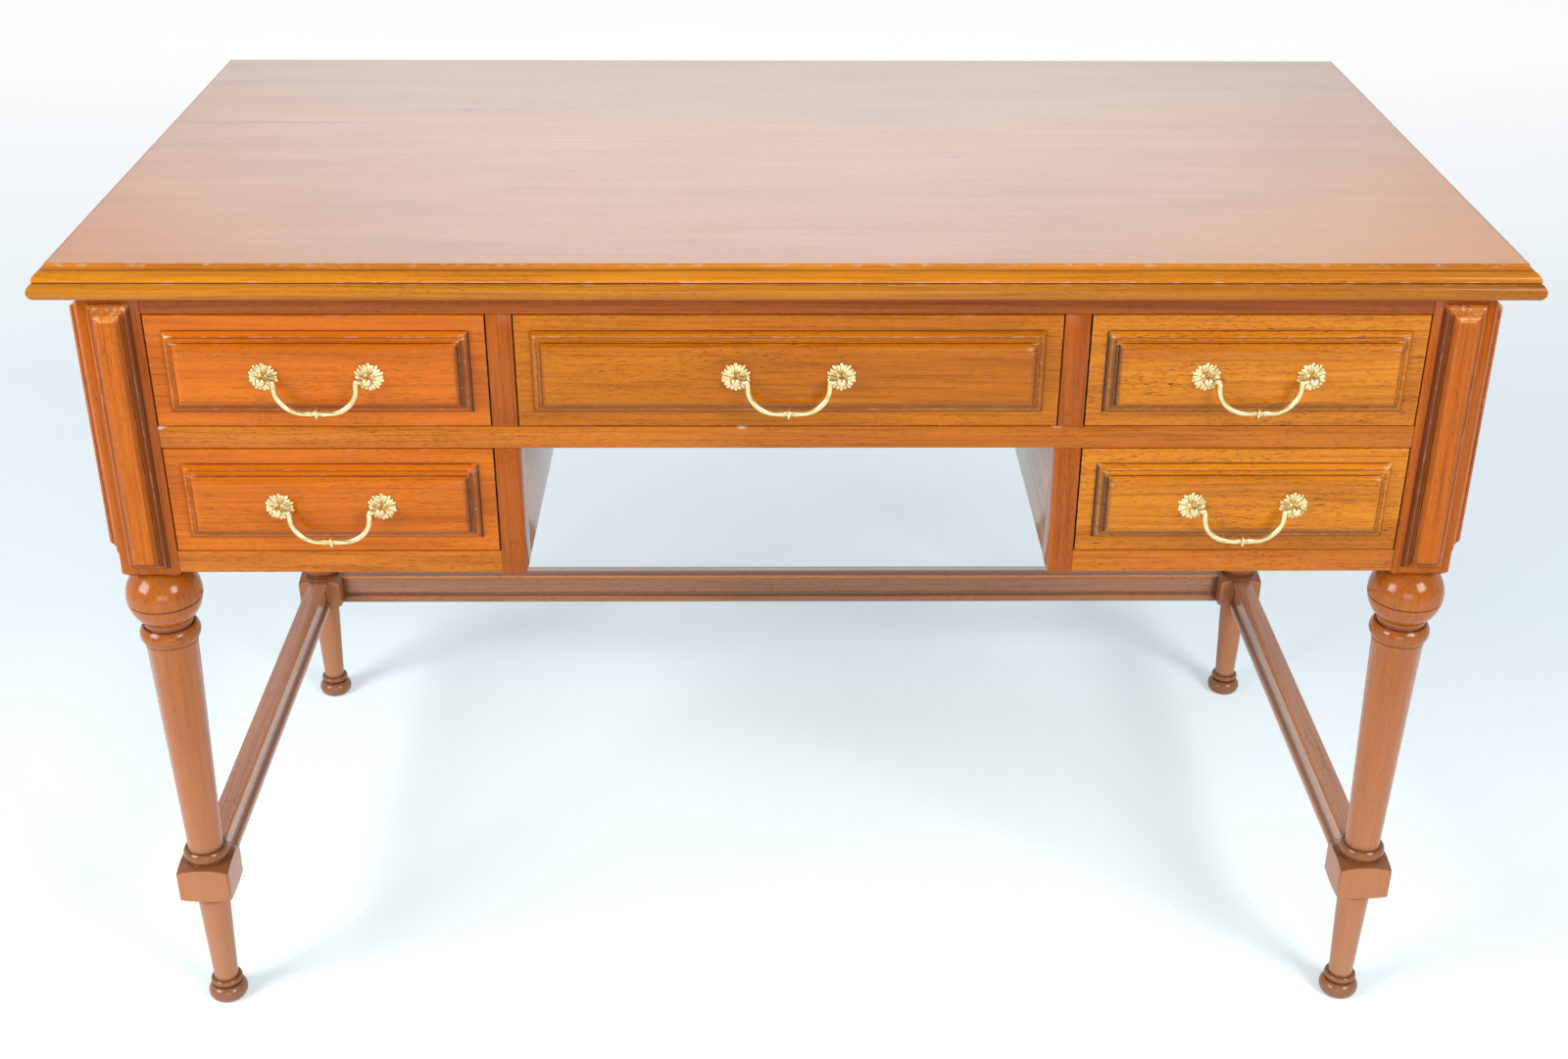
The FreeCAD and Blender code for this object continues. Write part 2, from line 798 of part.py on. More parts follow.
def make_post_panels():
    """Raised panels on the front posts' faces and on the outer faces of all the posts."""
    roof = under_top_z - S.post_panel_top_gap
    fronts = []
    sides = []
    for side in (-1, 1):
        fronts.append(post_panel(f"post_front_panel_{side}", roof, leg_top_z + S.post_front_panel_foot))
        x, _ = leg_axis(side, True)
        place_panel(fronts[-1], x, front_y, roof, leg_top_z + S.post_front_panel_foot, UNTURNED)
        for at_front in (True, False):
            name = f"post_side_panel_{side}_{at_front}"
            panel = post_panel(name, roof, leg_top_z + S.post_side_panel_foot)
            _, y = leg_axis(side, at_front)
            face = side_x if side > 0 else -side_x
            turn = Rotation(Vector(0, 0, 1), 90 * side)
            place_panel(panel, face, y, roof, leg_top_z + S.post_side_panel_foot, turn)
            sides.append(panel)
    group("post_panels", fronts + sides)


def post_panel(name, roof, foot):
    """One raised panel between two heights of a post."""
    return raised_panel(name, S.post_panel_width, roof - foot, POST_MOULDING)


def place_panel(panel, x, y, roof, foot, rotation):
    """Set a panel on its face, midway between its ends."""
    place(panel, x, y, (roof + foot) / 2, rotation)


def stretcher_half():
    """Right half of a stretcher's section, with its channelled face."""
    half = S.stretcher_width / 2
    web = half - S.stretcher_recess
    roof = S.stretcher_height
    cove_top = S.stretcher_bottom_flange + S.stretcher_cove
    return [
        Corner(half, roof),
        Corner(half, roof - S.stretcher_top_flange),
        Corner(web, roof - S.stretcher_top_flange),
        Corner(web, cove_top),
        Corner(half, S.stretcher_bottom_flange, S.stretcher_cove * S.cove_round_share, HOLLOW),
        Corner(half, ZERO),
    ]


def make_stretcher(name, length, x, y, rotation):
    """A stretcher with a tenon at each end."""
    body = name_node(name, new_body(name))
    section = draw(sketch_on(body, "YZ_Plane", f"{name}_section"), both_halves(stretcher_half()))
    pad(body, section, length, symmetric=True)
    half = S.stretcher_tenon_width / 2
    middle = S.stretcher_height / 2
    rise = S.stretcher_tenon_height / 2
    tenons = sketch_on(body, "YZ_Plane", f"{name}_tenons")
    draw(tenons, rectangle(-half, half, middle - rise, middle + rise))
    pad(body, tenons, length + S.stretcher_tenon_length * 2, symmetric=True)
    place(body, x, y, stretcher_foot_z(), rotation)


def make_underframe():
    """Legs, posts and stretchers."""
    for side, side_word in ((-1, "left"), (1, "right")):
        for at_front, end_word in ((True, "front"), (False, "back")):
            make_leg(f"leg_{end_word}_{side_word}", side, at_front)
            make_post(f"corner_post_{end_word}_{side_word}", side, at_front)
    side_length = leg_back_y - leg_front_y - S.block_side
    side_middle = (leg_back_y + leg_front_y) / 2
    quarter = Rotation(Vector(0, 0, 1), 90)
    make_stretcher("stretcher_left", side_length, -leg_x, side_middle, quarter)
    make_stretcher("stretcher_right", side_length, leg_x, side_middle, quarter)
    make_stretcher("stretcher_back", leg_x * 2 - S.block_side, ZERO, leg_back_y, UNTURNED)


# Front frame and walls

def rail_tenon(name, side, foot, roof):
    """The tenon that joins a rail to the front post on one side."""
    middle = front_y + S.front_frame_depth / 2
    half = S.rail_tenon_thickness / 2
    return side_board(
        name,
        side,
        (post_inner_x, post_inner_x + S.rail_tenon_length),
        (middle - half, middle + half),
        (foot + S.rail_tenon_shoulder, roof - S.rail_tenon_shoulder),
    )


def make_front_frame():
    """Rails, dividers and stiles round the drawer openings."""
    depth = (front_y, frame_back_y)
    (top_rail, mid_rail, bottom_rail) = rail_heights()
    for name, (foot, roof) in (("top_rail", top_rail), ("mid_rail", mid_rail)):
        rail = board(f"{name}_bar", (-post_inner_x, front_y, foot), (post_inner_x, frame_back_y, roof))
        tenons = [rail_tenon(f"{name}_tenon_{side}", side, foot, roof) for side in (-1, 1)]
        name_node(name, fuse(name, [rail, *tenons]))
    bottom_rails = []
    dividers = []
    stiles = []
    width = (centre_half, stile_x)
    for side in (-1, 1):
        bar = side_board(f"bottom_rail_bar_{side}", side, (stile_x, post_inner_x), depth, bottom_rail)
        tenon = rail_tenon(f"bottom_rail_tenon_{side}", side, *bottom_rail)
        bottom_rails.append(fuse(f"bottom_rail_{side}", [bar, tenon]))
        dividers.append(side_board(f"divider_{side}", side, width, depth, (upper_floor_z, upper_roof_z)))
        stile_height = (frame_foot_z - S.stile_drop, lower_roof_z)
        stiles.append(side_board(f"inner_stile_{side}", side, width, depth, stile_height))
    group("bottom_rails", bottom_rails)
    group("dividers", dividers)
    group("inner_stiles", stiles)


def make_walls():
    """Knee panels, end panels, the back and the cleats that hold the top."""
    inside_depth = (frame_back_y, back_panel_y)
    between_posts = (post_front_inner_y, post_back_inner_y)
    full_height = (frame_foot_z, under_top_z)
    cleat_height = (under_top_z - S.cleat_side, under_top_z)
    back_depth = (back_panel_y, back_panel_y + S.back_panel_thickness)
    knee_x = (centre_half, centre_half + S.knee_panel_thickness)
    end_x = (end_panel_inner_x, end_panel_inner_x + S.end_panel_thickness)
    cleat_x = (end_panel_inner_x - S.cleat_side, end_panel_inner_x)
    knees = []
    ends = []
    backs = []
    cleats = []
    for side in (-1, 1):
        knees.append(side_board(f"knee_panel_{side}", side, knee_x, inside_depth, full_height))
        ends.append(side_board(f"end_panel_{side}", side, end_x, between_posts, full_height))
        pedestal = (centre_half, post_inner_x)
        backs.append(
            side_board(f"pedestal_back_{side}", side, pedestal, back_depth, (frame_foot_z, lower_roof_z))
        )
        cleats.append(side_board(f"end_cleat_{side}", side, cleat_x, between_posts, cleat_height))
    back_cleat_depth = (back_panel_y - S.cleat_side, back_panel_y)
    cleats.append(board("back_cleat", *zip((-centre_half, centre_half), back_cleat_depth, cleat_height)))
    group("knee_panels", knees)
    group("end_panels", ends)
    group("pedestal_backs", backs)
    group("top_cleats", cleats)
    back_height = (lower_roof_z, under_top_z)
    back = board("back_panel", *zip((-post_inner_x, post_inner_x), back_depth, back_height))
    name_node("back_panel", back)


def make_runs():
    """Runners under the drawers' sides, guides beside them and stops behind them."""
    run_depth = (frame_back_y, back_panel_y)
    stop_depth = (drawer_rear_y, back_panel_y)
    between_posts = (post_front_inner_y, post_back_inner_y)
    outer_x = (post_inner_x - S.runner_width, post_inner_x)
    inner_x = (stile_x, stile_x + S.runner_width)
    centre_x = (centre_half - S.runner_width, centre_half)
    outer_guide_x = (post_inner_x, end_panel_inner_x)
    inner_guide_x = (centre_half + S.knee_panel_thickness, stile_x)
    places = [
        ("upper_outer", outer_x, upper_floor_z, outer_guide_x, between_posts),
        ("upper_inner", inner_x, upper_floor_z, inner_guide_x, run_depth),
        ("lower_outer", outer_x, lower_floor_z, outer_guide_x, between_posts),
        ("lower_inner", inner_x, lower_floor_z, inner_guide_x, run_depth),
        ("centre", centre_x, upper_floor_z, None, None),
    ]
    runners = []
    guides = []
    stops = []
    for word, runner_x, floor, guide_x, guide_depth in places:
        for side in (-1, 1):
            height = (floor - S.runner_height, floor)
            runners.append(side_board(f"runner_{word}_{side}", side, runner_x, run_depth, height))
            stop_height = (floor, floor + S.stop_height)
            stops.append(side_board(f"stop_{word}_{side}", side, runner_x, stop_depth, stop_height))
            if guide_x is not None:
                guide_height = (floor - S.runner_height, floor + S.guide_rise)
                guides.append(side_board(f"guide_{word}_{side}", side, guide_x, guide_depth, guide_height))
    group("drawer_runners", runners + guides)
    group("drawer_stops", stops)


# Drawers, each in a frame of its own at the middle of its opening, on the plane of the front

class Opening(NamedTuple):
    """An opening of the front frame: its middle, floor, width and height."""

    name: str
    x: Size
    floor: Size
    width: Size
    height: Size

    def origin(self):
        """Middle of the opening, on the front plane."""
        return self.x, front_y, self.floor + self.height / 2

    def place(self, item, x=ZERO, y=ZERO, z=ZERO, rotation=UNTURNED):
        """Set a piece in the drawer's frame."""
        middle_x, plane_y, middle_z = self.origin()
        place(item, middle_x + x, plane_y + y, middle_z + z, rotation)

    def half_box(self):
        """Half the drawer's width, over its sides."""
        return self.width / 2 - S.drawer_gap

    def box_height(self):
        """Height of the drawer's sides."""
        return self.height - S.box_headroom

    def box_foot(self):
        """Lower edge of the sides, on the runners."""
        return -self.height / 2


def openings():
    """The five openings, left to right and from the top down."""
    side_middle = (stile_x + post_inner_x) / 2
    side_width = post_inner_x - stile_x
    return [
        Opening("upper_left", -side_middle, upper_floor_z, side_width, S.upper_opening_height),
        Opening("centre", ZERO, upper_floor_z, S.centre_opening_width, S.upper_opening_height),
        Opening("upper_right", side_middle, upper_floor_z, side_width, S.upper_opening_height),
        Opening("lower_left", -side_middle, lower_floor_z, side_width, S.lower_opening_height),
        Opening("lower_right", side_middle, lower_floor_z, side_width, S.lower_opening_height),
    ]


def dovetails(opening):
    """Outlines of the tails on a side's front end, from the lowest up, each from its root round its tip."""
    pitch = opening.box_height() / S.dovetail_count
    root = pitch * S.dovetail_root_share
    tip = root + S.dovetail_flare
    lap = S.front_thickness - S.dovetail_length
    tails = []
    for number in range(COUNTS["dovetail_count"]):
        middle = opening.box_foot() + pitch * (2 * number + 1) / 2
        tails.append([
            Corner(S.front_thickness, middle - root),
            Corner(lap, middle - tip),
            Corner(lap, middle + tip),
            Corner(S.front_thickness, middle + root),
        ])
    return tails


def make_front(opening):
    """The front: raised field, sockets for the sides' tails, groove and bolt holes."""
    name = f"drawer_front_{opening.name}"
    width = opening.half_box() * 2
    height = opening.height - S.drawer_gap * 2
    panel = raised_panel(f"{name}_board", width, height, FIELD_MOULDING, S.field_margin, S.front_thickness)
    inner = opening.half_box() - S.box_side_thickness
    groove_foot = opening.box_foot() + S.box_bottom_lift
    groove = board(
        f"{name}_groove",
        (-inner, S.front_thickness - S.groove_depth, groove_foot),
        (inner, S.front_thickness + S.overrun, groove_foot + S.box_bottom_thickness),
    )
    tools = [groove]
    for side in (-1, 1):
        sockets = free_sketch(f"{name}_sockets_{side}", SIDE_PLANE, *dovetails(opening))
        tails = extrude(f"{name}_tails_{side}", sockets, S.box_side_thickness)
        place(tails, (opening.half_box() - S.box_side_thickness / 2) * side, ZERO, ZERO)
        tools.append(tails)
        hole = doc.addObject("Part::Cylinder", f"{name}_bolt_hole_{side}")
        bind(hole, "Radius", S.bolt_diameter / 2 + S.joint_play)
        bind(hole, "Height", S.front_thickness + S.field_moulding_rise + S.overrun * 2)
        place(hole, S.pull_spacing / 2 * side, S.front_thickness + S.overrun, ZERO, AXIS_TO_FRONT)
        tools.append(hole)
    front = name_node(name, cut(name, panel, fuse(f"{name}_cuts", tools)))
    opening.place(front)


def make_sides(opening):
    """Both sides, dovetailed at the front end and grooved for the bottom."""
    foot = opening.box_foot()
    roof = foot + opening.box_height()
    tails = [corner for tail in dovetails(opening) for corner in tail]
    outline = [
        Corner(S.front_thickness, roof),
        Corner(drawer_depth, roof),
        Corner(drawer_depth, foot),
        Corner(S.front_thickness, foot),
        *tails,
    ]
    sides = []
    for side in (-1, 1):
        name = f"drawer_side_{opening.name}_{side}"
        plank = extrude(f"{name}_plank", free_sketch(f"{name}_outline", SIDE_PLANE, outline), S.box_side_thickness)
        place(plank, (opening.half_box() - S.box_side_thickness / 2) * side, ZERO, ZERO)
        inner = opening.half_box() - S.box_side_thickness
        lift = foot + S.box_bottom_lift
        groove = side_board(
            f"{name}_groove",
            side,
            (inner - S.overrun, inner + S.groove_depth),
            (-S.overrun, drawer_depth + S.overrun),
            (lift, lift + S.box_bottom_thickness),
        )
        piece = cut(name, plank, groove)
        opening.place(piece)
        sides.append(piece)
    group(f"drawer_sides_{opening.name}", sides)


def make_back_and_bottom(opening):
    """The back between the sides, and the bottom in its grooves."""
    inner = opening.half_box() - S.box_side_thickness
    reach = inner + S.groove_depth - S.groove_play
    middle_x, plane_y, middle_z = opening.origin()
    lift = middle_z + opening.box_foot() + S.box_bottom_lift
    rear = plane_y + drawer_depth
    bottom_front = plane_y + S.front_thickness
    roof = middle_z + opening.box_foot() + opening.box_height()
    back = board(
        f"drawer_back_{opening.name}",
        (middle_x - inner, rear - S.box_back_thickness, lift + S.box_bottom_thickness),
        (middle_x + inner, rear, roof),
    )
    name_node(f"drawer_back_{opening.name}", back)
    panel = board(
        f"drawer_bottom_{opening.name}_panel",
        (middle_x - reach, bottom_front, lift),
        (middle_x + reach, rear, lift + S.box_bottom_thickness),
    )
    lip = board(
        f"drawer_bottom_{opening.name}_lip",
        (middle_x - inner, bottom_front - S.groove_depth + S.groove_play, lift),
        (middle_x + inner, bottom_front, lift + S.box_bottom_thickness),
    )
    name_node(f"drawer_bottom_{opening.name}", fuse(f"drawer_bottom_{opening.name}", [panel, lip]))


# Drawer pulls

def make_rosette(name):
    """A domed plate whose rim is notched into petals."""
    body = new_body(name)
    hole = S.bolt_diameter / 2 + S.joint_play
    rim = S.rosette_diameter / 2
    crown = S.rosette_crown_diameter / 2
    profile = [
        Corner(hole, S.rosette_height),
        Corner(crown, S.rosette_height),
        Corner(rim, S.rosette_rim, (rim - crown) * S.nose_round_share, ROUND),
        Corner(rim, ZERO),
        Corner(hole, ZERO),
    ]
    revolve(body, draw(sketch_on(body, "XZ_Plane", f"{name}_profile"), profile))
    apex = S.petal_notch_inner_diameter / 2
    beyond = rim + S.overrun
    spread = S.petal_notch / 2 * (beyond - apex) / (rim - apex)
    notch = sketch_on(body, "XY_Plane", f"{name}_notch", S.rosette_floor)
    draw(notch, [Corner(apex, ZERO), Corner(beyond, spread), Corner(beyond, -spread)])
    first_notch = pocket(body, notch, S.rosette_height, True)
    petals = body.newObject("PartDesign::PolarPattern", f"{name}_petals")
    petals.Originals = [first_notch]
    petals.Axis = (notch, ["N_Axis"])
    petals.Angle = 360
    bind(petals, "Occurrences", S.petal_count)
    body.Tip = petals
    return body


def make_bolt(name, side):
    """A ball-headed bolt, bored on its inner side for the bail's pin."""
    body = new_body(name)
    ball = S.knuckle_diameter / 2
    stem = S.bolt_stem_diameter / 2
    ball_foot = S.knuckle_reach - (ball * ball - stem * stem).root()
    collar_top = S.rosette_height + S.bolt_collar
    shank_end = -(S.field_moulding_rise + S.front_thickness + S.nut_height + S.bolt_end)
    profile = [
        Corner(ZERO, S.knuckle_reach + ball),
        Corner(stem, ball_foot, ball, ROUND),
        Corner(stem, collar_top),
        Corner(S.bolt_collar_diameter / 2, collar_top),
        Corner(S.bolt_collar_diameter / 2, S.rosette_height),
        Corner(S.bolt_diameter / 2, S.rosette_height),
        Corner(S.bolt_diameter / 2, shank_end),
        Corner(ZERO, shank_end),
    ]
    revolve(body, draw(sketch_on(body, "XZ_Plane", f"{name}_profile"), profile))
    bore = sketch_on(body, "YZ_Plane", f"{name}_bore")
    draw_circle(bore, S.pin_diameter / 2 + S.pin_clearance)
    bore.AttachmentOffset = Placement(Vector(0, S.knuckle_reach.value, 0), UNTURNED)
    bind(bore, "AttachmentOffset.Base.y", S.knuckle_reach)
    pocket(body, bore, ball, side < 0)
    return body


def make_nut(name):
    """A hexagonal nut against the back of the drawer's front."""
    prism = doc.addObject("Part::Prism", f"{name}_prism")
    prism.Polygon = 6
    bind(prism, "Circumradius", S.nut_diameter / 2)
    bind(prism, "Height", S.nut_height)
    hole = doc.addObject("Part::Cylinder", f"{name}_hole")
    bind(hole, "Radius", S.bolt_diameter / 2 + S.pin_clearance)
    bind(hole, "Height", S.nut_height + S.overrun * 2)
    place(hole, ZERO, ZERO, -S.overrun)
    return cut(name, prism, hole)


def make_fixings(opening):
    """Two rosettes, and two bolts with their nuts."""
    rosettes = []
    bolts = []
    for side in (-1, 1):
        x = S.pull_spacing / 2 * side
        rosette = make_rosette(f"rosette_{opening.name}_{side}")
        bolt = make_bolt(f"bolt_{opening.name}_{side}", side)
        nut = make_nut(f"nut_{opening.name}_{side}")
        opening.place(rosette, x, -S.field_moulding_rise, ZERO, AXIS_TO_FRONT)
        opening.place(bolt, x, -S.field_moulding_rise, ZERO, AXIS_TO_FRONT)
        opening.place(nut, x, S.front_thickness + S.nut_height, ZERO, AXIS_TO_FRONT)
        rosettes.append(rosette)
        bolts.extend([bolt, nut])
    group(f"pull_rosettes_{opening.name}", rosettes)
    group(f"pull_bolts_{opening.name}", bolts)


def bail_path():
    """Middle line of the bail's wire, from its right shoulder to its left one."""
    shoulder = S.pull_spacing / 2 - S.knuckle_diameter / 2 - S.pin_shoulder_gap
    arm = S.pull_spacing / 2 - S.bail_inset
    right = [
        Corner(shoulder, ZERO),
        Corner(arm + S.bail_elbow, ZERO),
        Corner(arm, -S.bail_elbow, S.bail_elbow, HOLLOW),
        Corner(arm, S.bail_corner - S.bail_drop),
        Corner(arm - S.bail_corner, -S.bail_drop, S.bail_corner, ROUND),
    ]
    return both_halves(right)


def make_knop(name):
    """Turned knop at the middle of the bail: a disc between beads, with flared ends on the wire."""
    body = new_body(name)
    disc = S.knop_disc / 2
    bead_start = disc + S.knop_groove
    bead_end = bead_start + S.knop_bead
    flare_start = bead_end + S.knop_groove
    flare_end = S.pull_spacing / 2 - S.bail_inset - S.bail_corner
    right = [
        Corner(disc, S.knop_disc_diameter / 2),
        Corner(disc, S.knop_groove_diameter / 2),
        Corner(bead_start, S.knop_groove_diameter / 2),
        Corner(bead_start, S.knop_bead_diameter / 2),
        Corner(bead_end, S.knop_bead_diameter / 2),
        Corner(bead_end, S.knop_groove_diameter / 2),
        Corner(flare_start, S.knop_groove_diameter / 2),
        Corner(flare_start, S.knop_flare_diameter / 2),
        Corner(flare_end, S.bail_wire / 2),
        Corner(flare_end, ZERO),
    ]
    revolve(body, draw(sketch_on(body, "XZ_Plane", f"{name}_profile"), both_halves(right)), "H_Axis")
    place(body, ZERO, ZERO, -S.bail_drop)
    return body


def make_bail(opening):
    """The bail: bent wire with a pin at each end and a knop in the middle."""
    name = f"bail_{opening.name}"
    path = bail_path()
    body = new_body(f"{name}_wire")
    spine = draw(sketch_on(body, "XZ_Plane", f"{name}_path"), path, closed=False)
    section = sketch_on(body, "YZ_Plane", f"{name}_section", path[0].across)
    draw_circle(section, S.bail_wire / 2)
    wire = body.newObject("PartDesign::AdditivePipe", f"{name}_pipe")
    wire.Profile = section
    wire.Spine = (spine, [])
    pins = []
    inner = S.pull_spacing / 2 - S.bail_inset + S.bail_elbow
    tip = S.pull_spacing / 2 - S.pin_end_gap
    for side in (-1, 1):
        pin = doc.addObject("Part::Cylinder", f"{name}_pin_{side}")
        bind(pin, "Radius", S.pin_diameter / 2)
        bind(pin, "Height", tip - inner)
        place(pin, inner * side, ZERO, ZERO, Rotation(Vector(0, 0, 1), Vector(side, 0, 0)))
        pins.append(pin)
    bail = name_node(name, fuse(name, [body, *pins, make_knop(f"{name}_knop")]))
    opening.place(bail, ZERO, -(S.field_moulding_rise + S.knuckle_reach), ZERO)


def make_drawer(opening):
    """A drawer with its pull."""
    make_front(opening)
    make_sides(opening)
    make_back_and_bottom(opening)
    make_fixings(opening)
    make_bail(opening)


def check_and_write():
    """Stop at anything that failed, then write a file for each sub-part."""
    for item in doc.Objects:
        if {"Invalid", "Error"} & set(item.State):
            raise RuntimeError(f"{item.Label} is {item.State}")
    for name, item in nodes.items():
        if item.Shape.isNull() or not item.Shape.isValid():
            raise RuntimeError(f"{name} has no valid shape")
    os.makedirs("parts", exist_ok=True)
    for name, item in nodes.items():
        item.Shape.exportStep(os.path.join("parts", f"{name}.step"))
    print(f"{len(nodes)} sub-parts")


make_top()
make_underframe()
make_post_panels()
make_front_frame()
make_walls()
make_runs()
for drawer_opening in openings():
    make_drawer(drawer_opening)
doc.recompute()
check_and_write()
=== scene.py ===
"""Portrait of a five-drawer writing desk on turned legs.

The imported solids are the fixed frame. Moulded, turned and cast pieces are made again here with eased
arrises and finer curves, and every other piece keeps its solid and gets a finish of its own.
"""

from __future__ import annotations

import json
import logging
import math
from dataclasses import dataclass
from enum import Enum
from typing import Any, Callable, Iterable, Sequence

import bmesh
import bpy
from mathutils import Matrix, Vector

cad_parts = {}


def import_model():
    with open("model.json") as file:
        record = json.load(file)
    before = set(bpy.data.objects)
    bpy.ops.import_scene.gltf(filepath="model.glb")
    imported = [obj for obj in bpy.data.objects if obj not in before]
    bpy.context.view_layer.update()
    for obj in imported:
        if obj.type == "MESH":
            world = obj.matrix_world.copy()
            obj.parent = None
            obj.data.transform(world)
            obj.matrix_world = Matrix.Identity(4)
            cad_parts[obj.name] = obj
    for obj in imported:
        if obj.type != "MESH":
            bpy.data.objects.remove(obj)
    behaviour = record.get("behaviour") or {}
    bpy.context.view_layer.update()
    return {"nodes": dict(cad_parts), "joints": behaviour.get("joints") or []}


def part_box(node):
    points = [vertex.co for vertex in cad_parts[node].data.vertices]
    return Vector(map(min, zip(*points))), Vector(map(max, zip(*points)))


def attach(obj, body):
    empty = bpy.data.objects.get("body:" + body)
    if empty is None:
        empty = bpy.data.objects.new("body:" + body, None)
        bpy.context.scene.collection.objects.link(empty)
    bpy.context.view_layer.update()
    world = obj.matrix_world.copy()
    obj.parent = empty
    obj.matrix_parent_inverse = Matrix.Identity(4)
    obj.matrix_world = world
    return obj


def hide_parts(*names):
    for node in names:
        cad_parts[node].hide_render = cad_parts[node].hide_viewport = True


LOG = logging.getLogger("desk")
MM = 0.001
PHOTO_WIDTH = 1600
SENSOR_WIDTH = 36.0
CREASE_ANGLE = math.radians(32.0)
WELD = 1e-6
QUARTER_RISE = 1 - math.sqrt(0.5)
PLAIN_BY_EASE = 3
POINTS_PER_SIDE = 3

# Where the posts, their legs and the pulls stand
POST_AXIS_X = 547.0 * MM
POST_FRONT_Y = -272.5 * MM
POST_BACK_Y = 282.0 * MM
PULL_SPACING = 86.0 * MM

# Places round a moulding's twelve points, from its lower left corner. The upper corners or the upper side
# take painted glints; the lower side takes painted shade, since it faces down; the inner sides of the post
# panels take dirt with painted shade. Each place has its share
UPPER_CORNERS = (6, 9)
UPPER_SIDE = (6, 7, 8, 9)
LOWER_SHADE = {0: 0.5, 1: 0.5, 2: 0.5, 3: 0.5}
RIGHT_DIRT_AND_SHADE = {3: 1.0, 4: 1.0, 5: 1.0}
LEFT_DIRT_AND_SHADE = {0: 1.0, 10: 1.0, 11: 1.0}

DRAWERS = ("upper_left", "centre", "upper_right", "lower_left", "lower_right")

Colour = tuple[float, float, float]
Point = tuple[float, float]
Line = tuple[float, float, float]
Socket = bpy.types.NodeSocket


class Grain(Enum):
    """The way the fibres of a board run."""

    ACROSS = (1.0, 0.0, 0.0)
    DEEP = (0.0, 1.0, 0.0)
    UPRIGHT = (0.0, 0.0, 1.0)

    def turn(self) -> tuple[float, float, float]:
        """Angles that lay the fibres along a pattern's first axis.

        Returns:
            The angles about the three axes.
        """
        quarter = math.pi / 2
        turns = {"ACROSS": (0.0, 0.0, 0.0), "DEEP": (0.0, 0.0, -quarter), "UPRIGHT": (0.0, quarter, 0.0)}
        return turns[self.name]


class Figure(Enum):
    """Features of a noise in each metre along, across and through the grain, and its finer octaves."""

    WANDER = ((1.4, 6.0, 6.0), 2.0)
    BAND = ((1.0, 26.0, 26.0), 3.0)
    STREAK = ((7.0, 400.0, 400.0), 4.0)
    PORE = ((150.0, 1500.0, 1500.0), 1.0)
    PATCH = ((7.0, 30.0, 30.0), 2.0)
    CHIP = ((85.0, 260.0, 260.0), 3.0)
    RAG = ((30.0, 160.0, 160.0), 3.0)
    TARNISH = ((140.0, 140.0, 140.0), 3.0)
    SCRATCH = ((900.0, 900.0, 900.0), 2.0)
    SCUFF = ((2.0, 2.0, 2.0), 4.0)


class Slot(Enum):
    """Material slots of the record, by name; no piece made here is given one."""

    HARDWOOD = "varnished_hardwood"
    BRASS = "brass"


class Body(Enum):
    """Beginnings of the names of the bodies that pieces ride on."""

    CARCASE = "carcase"
    DRAWER = "drawer_"
    PULL = "pull_"


class Bench:
    """Adds nodes to one tree and joins them."""

    def __init__(self, tree: bpy.types.NodeTree) -> None:
        """Keep the tree at hand.

        Args:
            tree: The tree.
        """
        self.tree = tree

    def add(self, kind: str, **inputs: Any) -> bpy.types.Node:
        """Add a node.

        Args:
            kind: Blender's name of the node type.
            **inputs: Values or sockets, by input name with underscores for spaces.

        Returns:
            The new node.
        """
        node = self.tree.nodes.new(kind)
        for name, value in inputs.items():
            self.feed(node.inputs[name.replace("_", " ")], value)
        return node

    def feed(self, socket: Socket, value: Any) -> None:
        """Link a socket to an input, or set the input's value.

        Args:
            socket: The input.
            value: An output socket, a number or a tuple.
        """
        if isinstance(value, bpy.types.NodeSocket):
            self.tree.links.new(value, socket)
        elif socket.type == "RGBA" and len(value) == 3:
            socket.default_value = (*value, 1.0)
        else:
            socket.default_value = value

    def operate(self, kind: str, operation: str, *values: Any) -> bpy.types.Node:
        """Add one step of arithmetic.

        Args:
            kind: Blender's name of the node type.
            operation: Blender's name of the operation.
            *values: Sockets, numbers or vectors, in order.

        Returns:
            The new node.
        """
        node = self.add(kind)
        node.operation = operation
        for socket, value in zip(node.inputs, values):
            self.feed(socket, value)
        return node

    def number(self, operation: str, first: Any, second: Any = 0.0) -> Socket:
        """One step of arithmetic on numbers.

        Args:
            operation: Blender's name of the operation.
            first: Socket or number.
            second: Socket or number.

        Returns:
            The result's socket.
        """
        return self.operate("ShaderNodeMath", operation, first, second).outputs[0]


